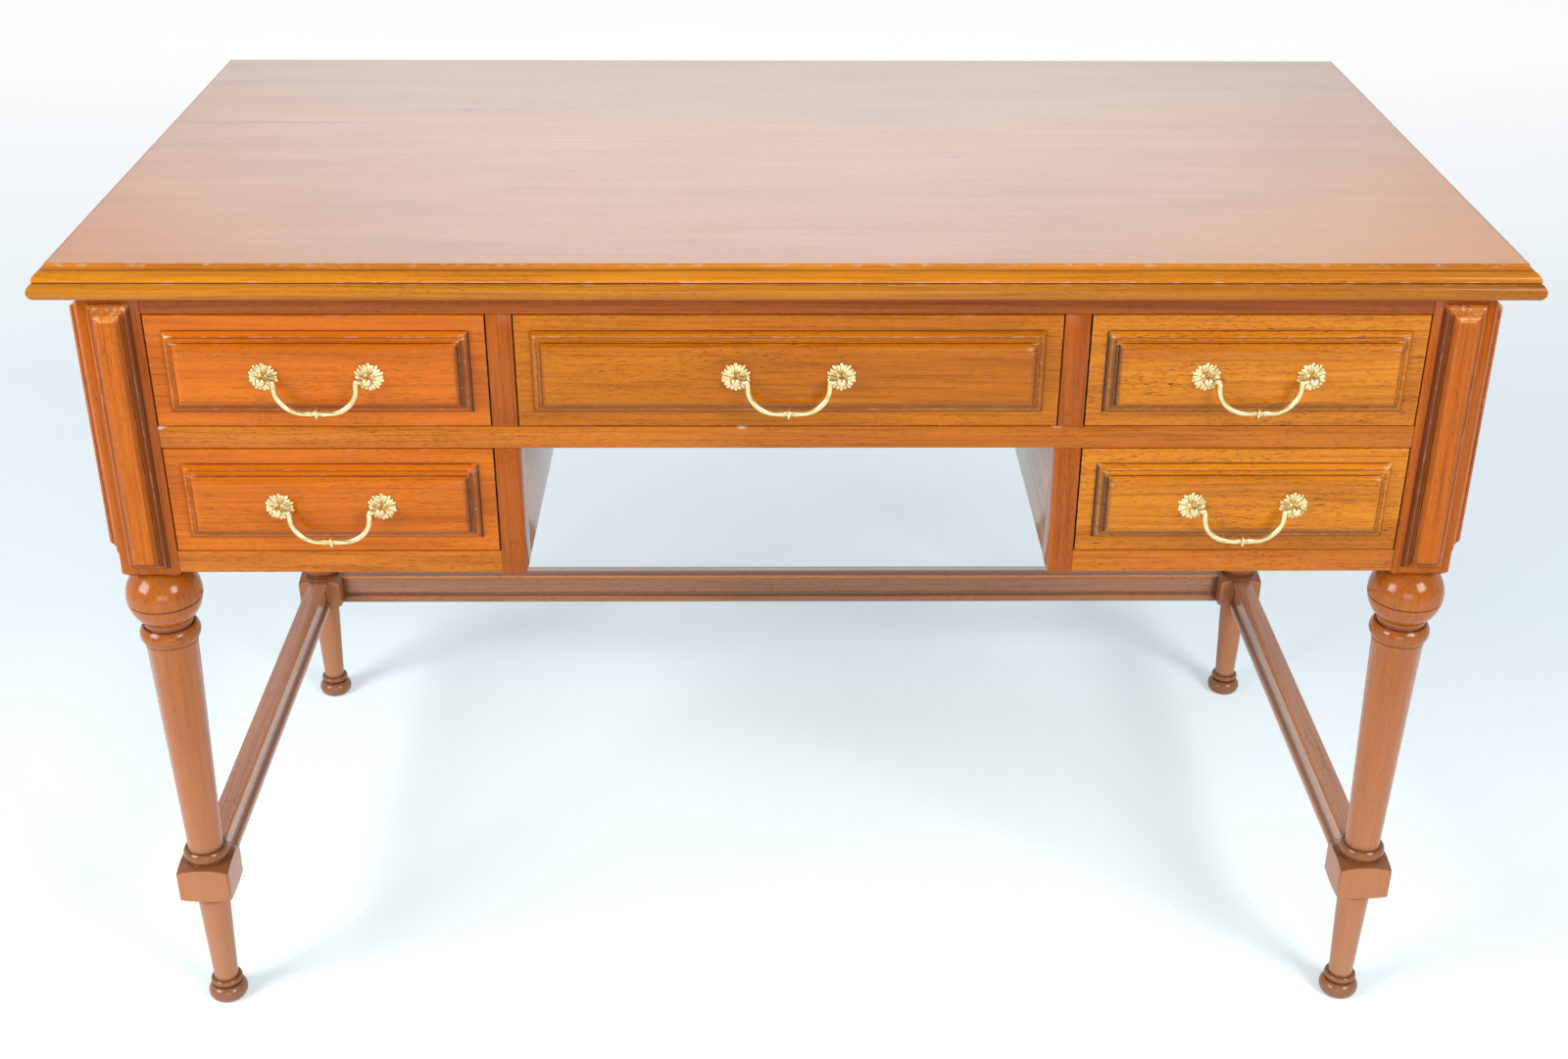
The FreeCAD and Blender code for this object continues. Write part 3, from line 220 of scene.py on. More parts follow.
class ShaderBench(Bench):
    """Adds shader nodes to one new material or world and joins them."""

    mix_inputs: tuple[int, int, int] = (0, 6, 7)
    mix_output: int = 2

    def __init__(self, owner: bpy.types.Material | bpy.types.World) -> None:
        """Start with no nodes.

        Args:
            owner: The material or world.
        """
        owner.use_nodes = True
        super().__init__(owner.node_tree)
        self.owner = owner
        self.tree.nodes.clear()

    def vector(self, operation: str, first: Any, second: Any) -> Socket:
        """One step of vector arithmetic.

        Args:
            operation: Blender's name of the operation.
            first: Socket or vector.
            second: Socket or vector.

        Returns:
            The result's socket.
        """
        node = self.operate("ShaderNodeVectorMath", operation, first, second)
        return node.outputs["Value" if operation == "DOT_PRODUCT" else "Vector"]

    def noise(self, place: Socket, figure: Figure, roughness: float = 0.55) -> bpy.types.Node:
        """Noise at its own scale along each axis.

        Args:
            place: Coordinates.
            figure: Its scale and octaves.
            roughness: Strength of the finer octaves.

        Returns:
            The noise node.
        """
        stretch, detail = figure.value
        stretched = self.vector("MULTIPLY", place, stretch)
        return self.add(
            "ShaderNodeTexNoise", Vector=stretched, Scale=1.0, Detail=detail, Roughness=roughness
        )

    def ramp(self, value: Socket, stops: Sequence[tuple[float, Colour]]) -> Socket:
        """Colours along a value.

        Args:
            value: Socket from 0 to 1.
            stops: Places and colours, in order.

        Returns:
            The colour's socket.
        """
        node = self.add("ShaderNodeValToRGB", Fac=value)
        elements = node.color_ramp.elements
        while len(elements) < len(stops):
            elements.new(0.5)
        for element, (place, colour) in zip(elements, stops):
            element.position = place
            element.color = (*colour, 1.0)
        return node.outputs["Color"]

    def mix(self, share: Any, first: Any, second: Any, blend: str = "MIX") -> Socket:
        """Mix two colours.

        Args:
            share: How much of the second one.
            first: Colour or socket.
            second: Colour or socket.
            blend: Blender's name of the blending.

        Returns:
            The mixed colour's socket.
        """
        node = self.add("ShaderNodeMix")
        node.data_type = "RGBA"
        node.blend_type = blend
        node.clamp_factor = True
        for number, value in zip(self.mix_inputs, (share, first, second)):
            self.feed(node.inputs[number], value)
        return node.outputs[self.mix_output]

    def remap(self, value: Socket, start: Point, end: tuple[Any, Any], soft: bool = False) -> Socket:
        """Carry a value from one range to another, held at its ends.

        Args:
            value: Socket.
            start: Range that the value has.
            end: Range that it gets, in numbers or sockets.
            soft: Whether it eases in and out.

        Returns:
            The new value's socket.
        """
        node = self.add(
            "ShaderNodeMapRange", Value=value, From_Min=start[0], From_Max=start[1],
            To_Min=end[0], To_Max=end[1],
        )
        node.interpolation_type = "SMOOTHSTEP" if soft else "LINEAR"
        return node.outputs[0]

    def finish(
        self, shader: Socket, output: str = "ShaderNodeOutputMaterial"
    ) -> bpy.types.Material | bpy.types.World:
        """Join the shader to the output.

        Args:
            shader: The shader's socket.
            output: Blender's name of the output's node type.

        Returns:
            The material or world that it belongs to.
        """
        self.add(output, Surface=shader)
        return self.owner


@dataclass(frozen=True)
class Mark:
    """A spot of colour on a board, and how ragged its edge is: stains and scuffs, and on the top also
    painted pools of light and shade.
    """

    place: tuple[float, float, float]
    reach: tuple[float, float, float]
    colour: Colour
    strength: float
    ragged: float = 1.0


class Finish:
    """A surface that is built once and used again."""

    name: str

    def material(self) -> bpy.types.Material:
        """Material of the finish, built at its first use.

        Returns:
            The material.
        """
        return bpy.data.materials.get(self.name) or self.build()

    def build(self) -> bpy.types.Material:
        """Build the material.

        Returns:
            The new material.
        """
        raise NotImplementedError


@dataclass(frozen=True)
class TimberFinish(Finish):
    """Wood under its varnish: colours, figure, wear and gloss, with painted shade and painted light from
    the meshes and the marks.
    """

    name: str
    grain: Grain
    body: Colour
    spread: float = 0.20
    fleck: float = 0.6
    fleck_colour: Colour = (0.10, 0.022, 0.004)
    waviness: float = 0.02
    streak: float = 0.75
    roughness: float = 0.16
    gloss_play: float = 0.04
    specular: float = 0.20
    end_grain: float = 0.45
    end_colour: Colour = (0.085, 0.034, 0.016)
    end_bias: float = 0.0
    # Colour of the painted shade in crevices, quirks and grooves and on down-facing sides, which also
    # colours dirt and the darker varnish of the leg rings
    shade_and_dirt_colour: Colour = (0.085, 0.028, 0.010)
    # Pale colour of chips along the wear, which also paints the glints at the upper places
    chip_and_glint_colour: Colour = (0.80, 0.66, 0.52)
    # Paler colour towards the floor, its share at the floor, and the height where it ends
    lower_pale_colour: Colour = (0.62, 0.36, 0.24)
    lower_paling: float = 0.0
    paling_top: float = 0.46
    shift: float = 0.0
    marks: tuple[Mark, ...] = ()
    band_stops: tuple[float, float, float] = (0.30, 0.50, 0.70)
    pale_band: float = 0.8
    green_play: float = 1.35
    streak_stops: tuple[tuple[float, Colour], ...] = (
        (0.30, (0.55, 0.45, 0.36)), (0.52, (1.0, 1.0, 1.0)), (0.75, (1.16, 1.16, 1.12)),
    )
    streak_sharpness: float = 0.65
    pore_range: Point = (0.57, 0.70)
    patch_range: Point = (0.35, 0.65)
    patch_flecks: Point = (0.35, 1.0)
    gloss_range: Point = (0.3, 0.7)
    streak_relief: float = 0.35
    fleck_relief: float = -0.8
    relief_strength: float = 0.10
    relief_depth: float = 0.4 * MM
    varnish_ior: float = 1.5
    end_falloff: float = 2.2
    chip_range: Point = (0.54, 0.64)
    chip_cover: float = 0.9
    spot_range: Point = (0.2, 1.0)

    def build(self) -> bpy.types.Material:
        """Lay figure, pores, end grain, wear, painted shade and light, and varnish over each other.

        Returns:
            The new material.
        """
        bench = ShaderBench(bpy.data.materials.new(self.name))
        place = bench.add("ShaderNodeTexCoord").outputs["Object"]
        shift = (self.shift, self.shift, self.shift)
        mapping = bench.add("ShaderNodeMapping", Vector=place, Rotation=self.grain.turn(), Location=shift)
        laid = mapping.outputs["Vector"]
        wander = bench.noise(laid, Figure.WANDER).outputs["Color"]
        drift = bench.vector("SUBTRACT", wander, (0.5, 0.5, 0.5))
        drift = bench.vector("MULTIPLY", drift, (0.0, self.waviness, self.waviness))
        bent = bench.vector("ADD", laid, drift)
        band = bench.noise(bent, Figure.BAND).outputs["Fac"]
        streak = bench.noise(bent, Figure.STREAK, self.streak_sharpness).outputs["Fac"]
        pore = bench.noise(laid, Figure.PORE).outputs["Fac"]
        patch = bench.noise(laid, Figure.PATCH).outputs["Fac"]
        bands = zip(self.band_stops, (self.tint(-1.0), self.body, self.tint(self.pale_band)))
        colour = bench.ramp(band, tuple(bands))
        colour = bench.mix(self.streak, colour, bench.ramp(streak, self.streak_stops), "MULTIPLY")
        flecks = bench.remap(pore, self.pore_range, (0.0, self.fleck))
        flecks = bench.number("MULTIPLY", flecks, bench.remap(patch, self.patch_range, self.patch_flecks))
        colour = bench.mix(flecks, colour, self.fleck_colour)
        colour = self.weather_and_paint_light(bench, place, laid, colour)
        raised = bench.number("MULTIPLY", streak, self.streak_relief)
        height = bench.number("ADD", raised, bench.number("MULTIPLY", flecks, self.fleck_relief))
        bump = bench.add(
            "ShaderNodeBump", Strength=self.relief_strength, Distance=self.relief_depth, Height=height
        ).outputs["Normal"]
        glosses = (self.roughness - self.gloss_play, self.roughness + self.gloss_play)
        varnish = bench.add(
            "ShaderNodeBsdfPrincipled", Base_Color=colour, Normal=bump, IOR=self.varnish_ior,
            Roughness=bench.remap(patch, self.gloss_range, glosses), Specular_IOR_Level=self.specular,
        )
        return bench.finish(varnish.outputs["BSDF"])

    def tint(self, share: float) -> Colour:
        """Body colour made darker and redder, or paler and yellower.

        Args:
            share: From -1 for the darkest to 1 for the palest.

        Returns:
            The colour.
        """
        red, green, blue = self.body
        change = self.spread * share
        return red * (1 + change), green * (1 + self.green_play * change), blue * (1 + change)

    def weather_and_paint_light(self, bench: ShaderBench, place: Socket, laid: Socket, colour: Socket) -> Socket:
        """Darken end grain, pale towards the floor where set, add the marks (painted light among them),
        paint shade into crevices, and pale the wear and the painted glints.

        Args:
            bench: The material's bench.
            place: Object coordinates.
            laid: Coordinates along the grain.
            colour: The wood's colour so far.

        Returns:
            The weathered colour.
        """
        # The fibre direction is tilted sideways, so that on a front the ends facing one way come out darker
        # than those facing the other
        fibre = (Vector(self.grain.value) - Vector((0.0, self.end_bias, 0.0))).normalized()
        normal = bench.add("ShaderNodeNewGeometry").outputs["Normal"]
        facing = bench.number("ABSOLUTE", bench.vector("DOT_PRODUCT", normal, tuple(fibre)))
        end = bench.number("POWER", facing, self.end_falloff)
        colour = bench.mix(bench.number("MULTIPLY", end, self.end_grain), colour, self.end_colour)
        # Paler towards the floor, easing to none at the top height
        if self.lower_paling:
            height = bench.add("ShaderNodeSeparateXYZ", Vector=place).outputs["Z"]
            paled = bench.remap(height, (0.0, self.paling_top), (self.lower_paling, 0.0))
            colour = bench.mix(paled, colour, self.lower_pale_colour)
        for mark in self.marks:
            colour = bench.mix(self.spot(bench, place, mark), colour, mark.colour)
        # Painted shade in crevices and on down-facing sides, with dirt and the leg rings' darker varnish,
        # read from the mesh's attribute
        colour = bench.mix(self.painted(bench, "shade_and_dirt"), colour, self.shade_and_dirt_colour)
        # Pale chips along the wear, and painted highlights where the mesh carries glints, picked out by
        # noise
        chips = bench.noise(laid, Figure.CHIP).outputs["Fac"]
        chips = bench.remap(chips, self.chip_range, (0.0, self.chip_cover))
        wear_and_glints = bench.number("MULTIPLY", chips, self.painted(bench, "arris"))
        return bench.mix(wear_and_glints, colour, self.chip_and_glint_colour)

    def painted(self, bench: ShaderBench, name: str) -> Socket:
        """Share of painted shade and dirt, or of wear and painted glint, that a mesh carries in an
        attribute.

        Args:
            bench: The material's bench.
            name: Name of the attribute.

        Returns:
            The share's socket.
        """
        node = bench.add("ShaderNodeAttribute")
        node.attribute_name = name
        return node.outputs["Fac"]

    def spot(self, bench: ShaderBench, place: Socket, mark: Mark) -> Socket:
        """Soft-edged, slightly ragged spot round a mark's place.

        Args:
            bench: The material's bench.
            place: Object coordinates.
            mark: The mark.

        Returns:
            The mark's share of the colour.
        """
        away = bench.vector("DIVIDE", bench.vector("SUBTRACT", place, mark.place), mark.reach)
        ragged = bench.noise(place, Figure.RAG).outputs["Fac"]
        distance = bench.operate("ShaderNodeVectorMath", "LENGTH", away).outputs["Value"]
        uneven = bench.number("MULTIPLY", bench.number("SUBTRACT", ragged, 0.5), mark.ragged)
        blurred = bench.number("ADD", distance, uneven)
        return bench.remap(blurred, self.spot_range, (mark.strength, 0.0))


@dataclass(frozen=True)
class BrassFinish(Finish):
    """Polished brass with a little tarnish in clouds over it."""

    name: str = "polished_brass"
    bright: Colour = (0.84, 0.69, 0.37)
    tarnish: Colour = (0.68, 0.50, 0.23)
    roughness: float = 0.32
    tarnished: Point = (0.34, 0.52)
    gloss_range: Point = (0.3, 0.7)
    duller: float = 0.10
    shinier: float = 0.06
    scratch_strength: float = 0.12
    scratch_depth: float = 0.1 * MM

    def build(self) -> bpy.types.Material:
        """Lay tarnish and fine scratches over the metal.

        Returns:
            The new material.
        """
        bench = ShaderBench(bpy.data.materials.new(self.name))
        place = bench.add("ShaderNodeTexCoord").outputs["Object"]
        cloud = bench.noise(place, Figure.TARNISH).outputs["Fac"]
        scratch = bench.noise(place, Figure.SCRATCH).outputs["Fac"]
        colour = bench.ramp(cloud, tuple(zip(self.tarnished, (self.tarnish, self.bright))))
        glosses = (self.roughness + self.duller, self.roughness - self.shinier)
        bump = bench.add(
            "ShaderNodeBump", Strength=self.scratch_strength, Distance=self.scratch_depth, Height=scratch
        ).outputs["Normal"]
        metal = bench.add(
            "ShaderNodeBsdfPrincipled", Base_Color=colour, Metallic=1.0, Normal=bump,
            Roughness=bench.remap(cloud, self.gloss_range, glosses),
        )
        return bench.finish(metal.outputs["BSDF"])


class Finishes:
    """Every finish on the desk."""

    TOP = TimberFinish(
        "top_board", Grain.ACROSS, (0.57, 0.245, 0.105), spread=0.09, fleck=0.34,
        fleck_colour=(0.27, 0.10, 0.045), streak=0.26, roughness=0.22, gloss_play=0.01, specular=0.5,
        waviness=0.012, end_grain=0.0,
        marks=(
            # The first three marks are painted light: brighter pools at the two near corners and painted
            # shade over the far middle. The rest are stains and smudges
            Mark((-0.66, -0.36, 0.773), (0.36, 0.46, 1.0), (0.85, 0.275, 0.065), 0.55, 0.15),
            Mark((0.66, -0.36, 0.773), (0.46, 0.46, 1.0), (0.88, 0.370, 0.120), 0.80, 0.15),
            Mark((0.0, 0.40, 0.773), (0.90, 0.34, 1.0), (0.37, 0.165, 0.090), 0.55, 0.15),
            Mark((-0.308, 0.123, 0.773), (0.017, 0.008, 0.02), (0.15, 0.14, 0.19), 0.65),
            Mark((-0.475, 0.079, 0.773), (0.15, 0.006, 0.02), (0.20, 0.12, 0.10), 0.60),
            Mark((0.104, 0.097, 0.773), (0.11, 0.03, 0.02), (0.28, 0.20, 0.20), 0.40),
            Mark((0.154, -0.030, 0.773), (0.006, 0.003, 0.02), (0.14, 0.06, 0.04), 0.70),
            Mark((-0.193, -0.074, 0.773), (0.004, 0.003, 0.02), (0.14, 0.06, 0.04), 0.70),
        ),
    )
    EDGE = TimberFinish(
        "edge_lipping", Grain.ACROSS, (0.62, 0.215, 0.012), fleck=0.45, shift=1.3, end_grain=0.1
    )
    SIDE_EDGE = TimberFinish(
        "side_edge_lipping", Grain.DEEP, (0.60, 0.205, 0.012), fleck=0.45, shift=2.1, end_grain=0.1
    )
    POST = TimberFinish("post", Grain.UPRIGHT, (0.42, 0.092, 0.003), shift=3.7)
    POST_PANEL = TimberFinish(
        "post_panel", Grain.UPRIGHT, (0.48, 0.110, 0.003), shift=0.4, shade_and_dirt_colour=(0.045, 0.014, 0.005)
    )
    # The panels' upper ends: no end-grain darkening, and a paler, glossier body, painted light for the
    # light their upward slopes catch
    LIT_PANEL_END = TimberFinish(
        "post_panel_end_lit", Grain.UPRIGHT, (0.66, 0.230, 0.030), shift=0.4, end_grain=0.0, specular=0.5,
        shade_and_dirt_colour=(0.045, 0.014, 0.005),
    )
    TOP_RAIL = TimberFinish("top_rail", Grain.ACROSS, (0.38, 0.092, 0.006), shift=4.4, fleck=0.7)
    RAIL = TimberFinish(
        "rail", Grain.ACROSS, (0.50, 0.142, 0.010), shift=5.2, fleck=0.8,
        marks=(
            Mark((-0.0385, -0.2975, 0.6247), (0.006, 0.01, 0.003), (0.80, 0.70, 0.60), 0.60),
            Mark((-0.5208, -0.2975, 0.6259), (0.007, 0.01, 0.004), (0.80, 0.70, 0.60), 0.90),
            Mark((0.2227, -0.2975, 0.6275), (0.007, 0.01, 0.004), (0.80, 0.70, 0.60), 0.90),
        ),
    )
    STILE = TimberFinish("stile", Grain.UPRIGHT, (0.40, 0.092, 0.006), shift=6.6, fleck=0.7)
    LEFT_FRONT = TimberFinish(
        "left_drawer_front", Grain.ACROSS, (0.60, 0.142, 0.004), shift=7.9, fleck=0.6, streak=0.6,
        end_grain=0.95, end_bias=0.30, shade_and_dirt_colour=(0.080, 0.034, 0.018),
    )
    CENTRE_FRONT = TimberFinish(
        "centre_drawer_front", Grain.ACROSS, (0.47, 0.136, 0.003), shift=8.8, fleck=0.7,
        shade_and_dirt_colour=(0.080, 0.038, 0.022),
    )
    RIGHT_FRONT = TimberFinish(
        "right_drawer_front", Grain.ACROSS, (0.62, 0.198, 0.007), shift=9.5, fleck=1.0, end_grain=1.0,
        end_bias=-0.34, end_colour=(0.055, 0.030, 0.020), shade_and_dirt_colour=(0.080, 0.040, 0.024),
    )
    LEG = TimberFinish(
        "turned_leg", Grain.UPRIGHT, (0.47, 0.126, 0.013), shift=11.0, spread=0.16, fleck=0.45, streak=0.55,
        lower_paling=0.9, lower_pale_colour=(0.49, 0.225, 0.112), end_grain=0.15, roughness=0.15, specular=0.38,
        shade_and_dirt_colour=(0.100, 0.022, 0.004),
    )
    CROSS_STRETCHER = TimberFinish(
        "back_stretcher", Grain.ACROSS, (0.38, 0.168, 0.092), shift=12.4, streak=0.5, specular=0.5
    )
    SIDE_STRETCHER = TimberFinish(
        "side_stretcher", Grain.DEEP, (0.53, 0.240, 0.135), shift=13.6, streak=0.5, specular=0.5
    )
    # Paler copies of the stretchers' finishes for their beads: painted highlights where the bead faces
    # catch the light
    LIT_CROSS_BEAD = TimberFinish(
        "back_stretcher_bead_lit", Grain.ACROSS, (0.60, 0.230, 0.060), shift=12.4, streak=0.5, specular=0.5
    )
    LIT_SIDE_BEAD = TimberFinish(
        "side_stretcher_bead_lit", Grain.DEEP, (0.60, 0.240, 0.070), shift=13.6, streak=0.5, specular=0.5
    )
    END_PANEL = TimberFinish("end_panel", Grain.DEEP, (0.50, 0.130, 0.008), shift=14.9)
    KNEE_PANEL = TimberFinish(
        "knee_panel", Grain.DEEP, (0.42, 0.260, 0.170), shift=15.7, roughness=0.12, specular=1.0
    )
    BACK = TimberFinish("back_board", Grain.ACROSS, (0.46, 0.140, 0.030), shift=16.3, roughness=0.32)
    BOX_SIDE = TimberFinish(
        "drawer_side_timber", Grain.DEEP, (0.58, 0.41, 0.24), shift=17.8, spread=0.12, fleck=0.3,
        fleck_colour=(0.34, 0.20, 0.10), streak=0.4, roughness=0.55, end_grain=0.25,
    )
    BOX_BACK = TimberFinish(
        "drawer_back_timber", Grain.ACROSS, (0.58, 0.41, 0.24), shift=18.4, spread=0.12, fleck=0.3,
        fleck_colour=(0.34, 0.20, 0.10), streak=0.4, roughness=0.55, end_grain=0.25,
    )
    RUNNER = TimberFinish(
        "runner_timber", Grain.DEEP, (0.50, 0.33, 0.18), shift=19.5, spread=0.12, fleck=0.3,
        fleck_colour=(0.30, 0.17, 0.08), streak=0.4, roughness=0.6,
    )
    BRASS = BrassFinish()


def bow(start: Point, end: Point, rise: float, steps: int) -> list[Point]:
    """Points of a circular arc after its start, up to its end.

    Args:
        start: First point.
        end: Last point.
        rise: Height of the arc over its chord, to the left of the way from start to end.
        steps: Number of points.

    Returns:
        The points, without the start.
    """
    first, last = Vector(start), Vector(end)
    chord = last - first
    left = Vector((-chord.y, chord.x)).normalized()
    radius = (chord.length_squared / 4 + rise * rise) / (2 * abs(rise))
    centre = (first + last) / 2 + left * (rise - math.copysign(radius, rise))
    begin = first - centre
    half = math.asin(min(1.0, chord.length / 2 / radius))
    swing = (2 * half if abs(rise) <= radius else 2 * (math.pi - half)) * -math.copysign(1.0, rise)
    points = []
    for step in range(1, steps + 1):
        angle = swing * step / steps
        points.append(tuple(centre + Matrix.Rotation(angle, 2) @ begin))
    return points


class MeshDraft:
    """Corners, faces and painted shares of a mesh that is being made."""

    def __init__(self) -> None:
        """Start an empty draft."""
        self.corners: list[Vector] = []
        self.faces: list[tuple[int, ...]] = []
        self.finish_numbers: list[int] = []
        self.paint: dict[str, list[float]] = {"shade_and_dirt": [], "arris": []}

    def corner(self, place: Vector, shade_and_dirt: float = 0.0, arris: float = 0.0) -> int:
        """Add a corner.

        Args:
            place: Where it is.
            shade_and_dirt: Share of painted shade, and of dirt.
            arris: Share of wear, and of painted glint at the upper places.

        Returns:
            Its number.
        """
        self.corners.append(place)
        self.paint["shade_and_dirt"].append(shade_and_dirt)
        self.paint["arris"].append(arris)
        return len(self.corners) - 1

    def face(self, numbers: Sequence[int], finish_number: int = 0) -> None:
        """Add a face.

        Args:
            numbers: Its corners, counter-clockwise from outside.
            finish_number: Which of the piece's finishes it has.
        """
        self.faces.append(tuple(numbers))
        self.finish_numbers.append(finish_number)

    def loft(self, rings: Sequence[Sequence[int]], finish: Callable[[int], int] = lambda number: 0) -> None:
        """Join rings of equal length by faces, closed round each ring.

        Args:
            rings: Corner numbers of each ring.
            finish: Gives the finish number for a place round the ring.
        """
        for lower, upper in zip(rings, rings[1:]):
            count = len(lower)
            for number in range(count):
                after = (number + 1) % count
                self.face((lower[number], lower[after], upper[after], upper[number]), finish(number))

    def piece(self, name: str, finishes: Sequence[Finish]) -> bpy.types.Object:
        """Make the mesh and its object.

        Args:
            name: Name of the piece.
            finishes: The finishes its faces have, by number.

        Returns:
            The object, at the origin.
        """
        mesh = bpy.data.meshes.new(name)
        mesh.from_pydata([tuple(place) for place in self.corners], [], self.faces)
        for finish in finishes:
            mesh.materials.append(finish.material())
        mesh.polygons.foreach_set("material_index", self.finish_numbers)
        for label, shares in self.paint.items():
            mesh.attributes.new(label, "FLOAT", "POINT").data.foreach_set("value", shares)
        smooth(mesh)
        piece = bpy.data.objects.new(name, mesh)
        bpy.context.scene.collection.objects.link(piece)
        return piece


def smooth(mesh: bpy.types.Mesh) -> None:
    """Shade a mesh smooth with its creases kept.

    Args:
        mesh: The mesh.
    """
    mesh.validate()
    mesh.shade_smooth()
    mesh.set_sharp_from_angle(angle=CREASE_ANGLE)
    mesh.update()


def seat(piece: bpy.types.Object, body: str, node: str) -> None:
    """Set a finished piece in the frame.

    Args:
        piece: The piece.
        body: Body that it rides on.
        node: Solid that it stands for.
    """
    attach(piece, body)
    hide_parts(node)
    LOG.info("%s: %d faces on %s", piece.name, len(piece.data.polygons), body)


@dataclass(frozen=True)
class Station:
    """One line of a moulding that runs round a rectangle."""

    inset: float
    rise: float
    # Shares of each line: painted shade with dirt, wear with painted glint, painted glint for the upper
    # places, and dirt with painted shade for the sides named at each use
    shade_and_dirt: float = 0.0
    arris: float = 0.0
    glint: float = 0.0
    side_dirt_and_shade: float = 0.0


@dataclass(frozen=True)
class Plane:
    """A face that a moulding lies on, in metres."""

    middle: Vector
    across: Vector
    upright: Vector

    def at(self, across: float, upright: float, out: float) -> Vector:
        """Point on or off the face.

        Args:
            across: Distance across.
            upright: Distance up.
            out: Distance out of the face.

        Returns:
            The point.
        """
        outward = self.across.cross(self.upright)
        return self.middle + self.across * across + self.upright * upright + outward * out


@dataclass
class RunningMoulding:
    """A moulding worked round the four sides of a rectangle, mitred at the corners."""

    stations: list[Station]
    corner_reach: float = 6.0 * MM
    # Places that take painted glints, and the share of painted shade left there
    glinting: tuple[int, ...] = UPPER_CORNERS
    glint_shade_share: float = 0.4

    def add_to(
        self, draft: MeshDraft, plane: Plane, width: float, height: float,
        finish: Callable[[int], int] = lambda side: 0, dirt_and_shade_places: dict[int, float] | None = None,
    ) -> None:
        """Add a board with this moulding to a draft.

        Args:
            draft: The draft.
            plane: Where the board lies.
            width: Width of the board.
            height: Height of the board.
            finish: Gives the finish number for a side, counted from the lower one.
            dirt_and_shade_places: Share of dirt and painted shade by place round the ring.
        """
        side_shares = dirt_and_shade_places or {}
        rings = []
        for station in self.stations:
            half_width, half_height = width / 2 - station.inset, height / 2 - station.inset
            spots = self.ring(half_width, half_height)
            ring = []
            for number, (across, upright) in enumerate(spots):
                shade_and_dirt, arris = station.shade_and_dirt, station.arris
                # At the upper places the painted shade is weaker and the painted glint joins the wear
                # share, where the pale chip colour paints highlights
                if number in self.glinting:
                    shade_and_dirt, arris = shade_and_dirt * self.glint_shade_share, max(arris, station.glint)
                # Dirt and painted shade on the sides named at each use
                shade_and_dirt = max(shade_and_dirt, station.side_dirt_and_shade * side_shares.get(number, 0.0))
                ring.append(draft.corner(plane.at(across, upright, station.rise), shade_and_dirt, arris))
            rings.append(ring)
        draft.loft(rings, lambda number: finish(number // POINTS_PER_SIDE))
        draft.face(rings[-1])
        draft.face(list(reversed(rings[0])))

    def ring(self, half_width: float, half_height: float) -> list[Point]:
        """Points round a rectangle, with one either side of each corner.

        Args:
            half_width: Half of its width.
            half_height: Half of its height.

        Returns:
            Twelve points, counter-clockwise from the lower left corner.
        """
        reach = min(self.corner_reach, half_width / 2, half_height / 2)
        corners = [
            Vector((-half_width, -half_height)), Vector((half_width, -half_height)),
            Vector((half_width, half_height)), Vector((-half_width, half_height)),
        ]
        points = []
        for number, corner in enumerate(corners):
            after = corners[(number + 1) % len(corners)]
            step = (after - corner).normalized() * reach
            points += [tuple(corner), tuple(corner + step), tuple(after - step)]
        return points


def eased(inset: float, rise: float, ease: float, arris: float) -> list[Station]:
    """Stations that round the outer edge between a board's side and its face.

    Args:
        inset: Inset of the edge.
        rise: Height of the face.
        ease: Radius.
        arris: Share of wear.

    Returns:
        The stations, from the edge to the face.
    """
    arc = bow((inset, rise - ease), (inset + ease, rise), ease * QUARTER_RISE, steps=3)
    plain = PLAIN_BY_EASE * ease
    return [
        Station(inset, rise - plain),
        Station(inset, rise - ease, arris=arris / 2),
        *(Station(*point, arris=arris) for point in arc),
        Station(inset + plain, rise),
    ]


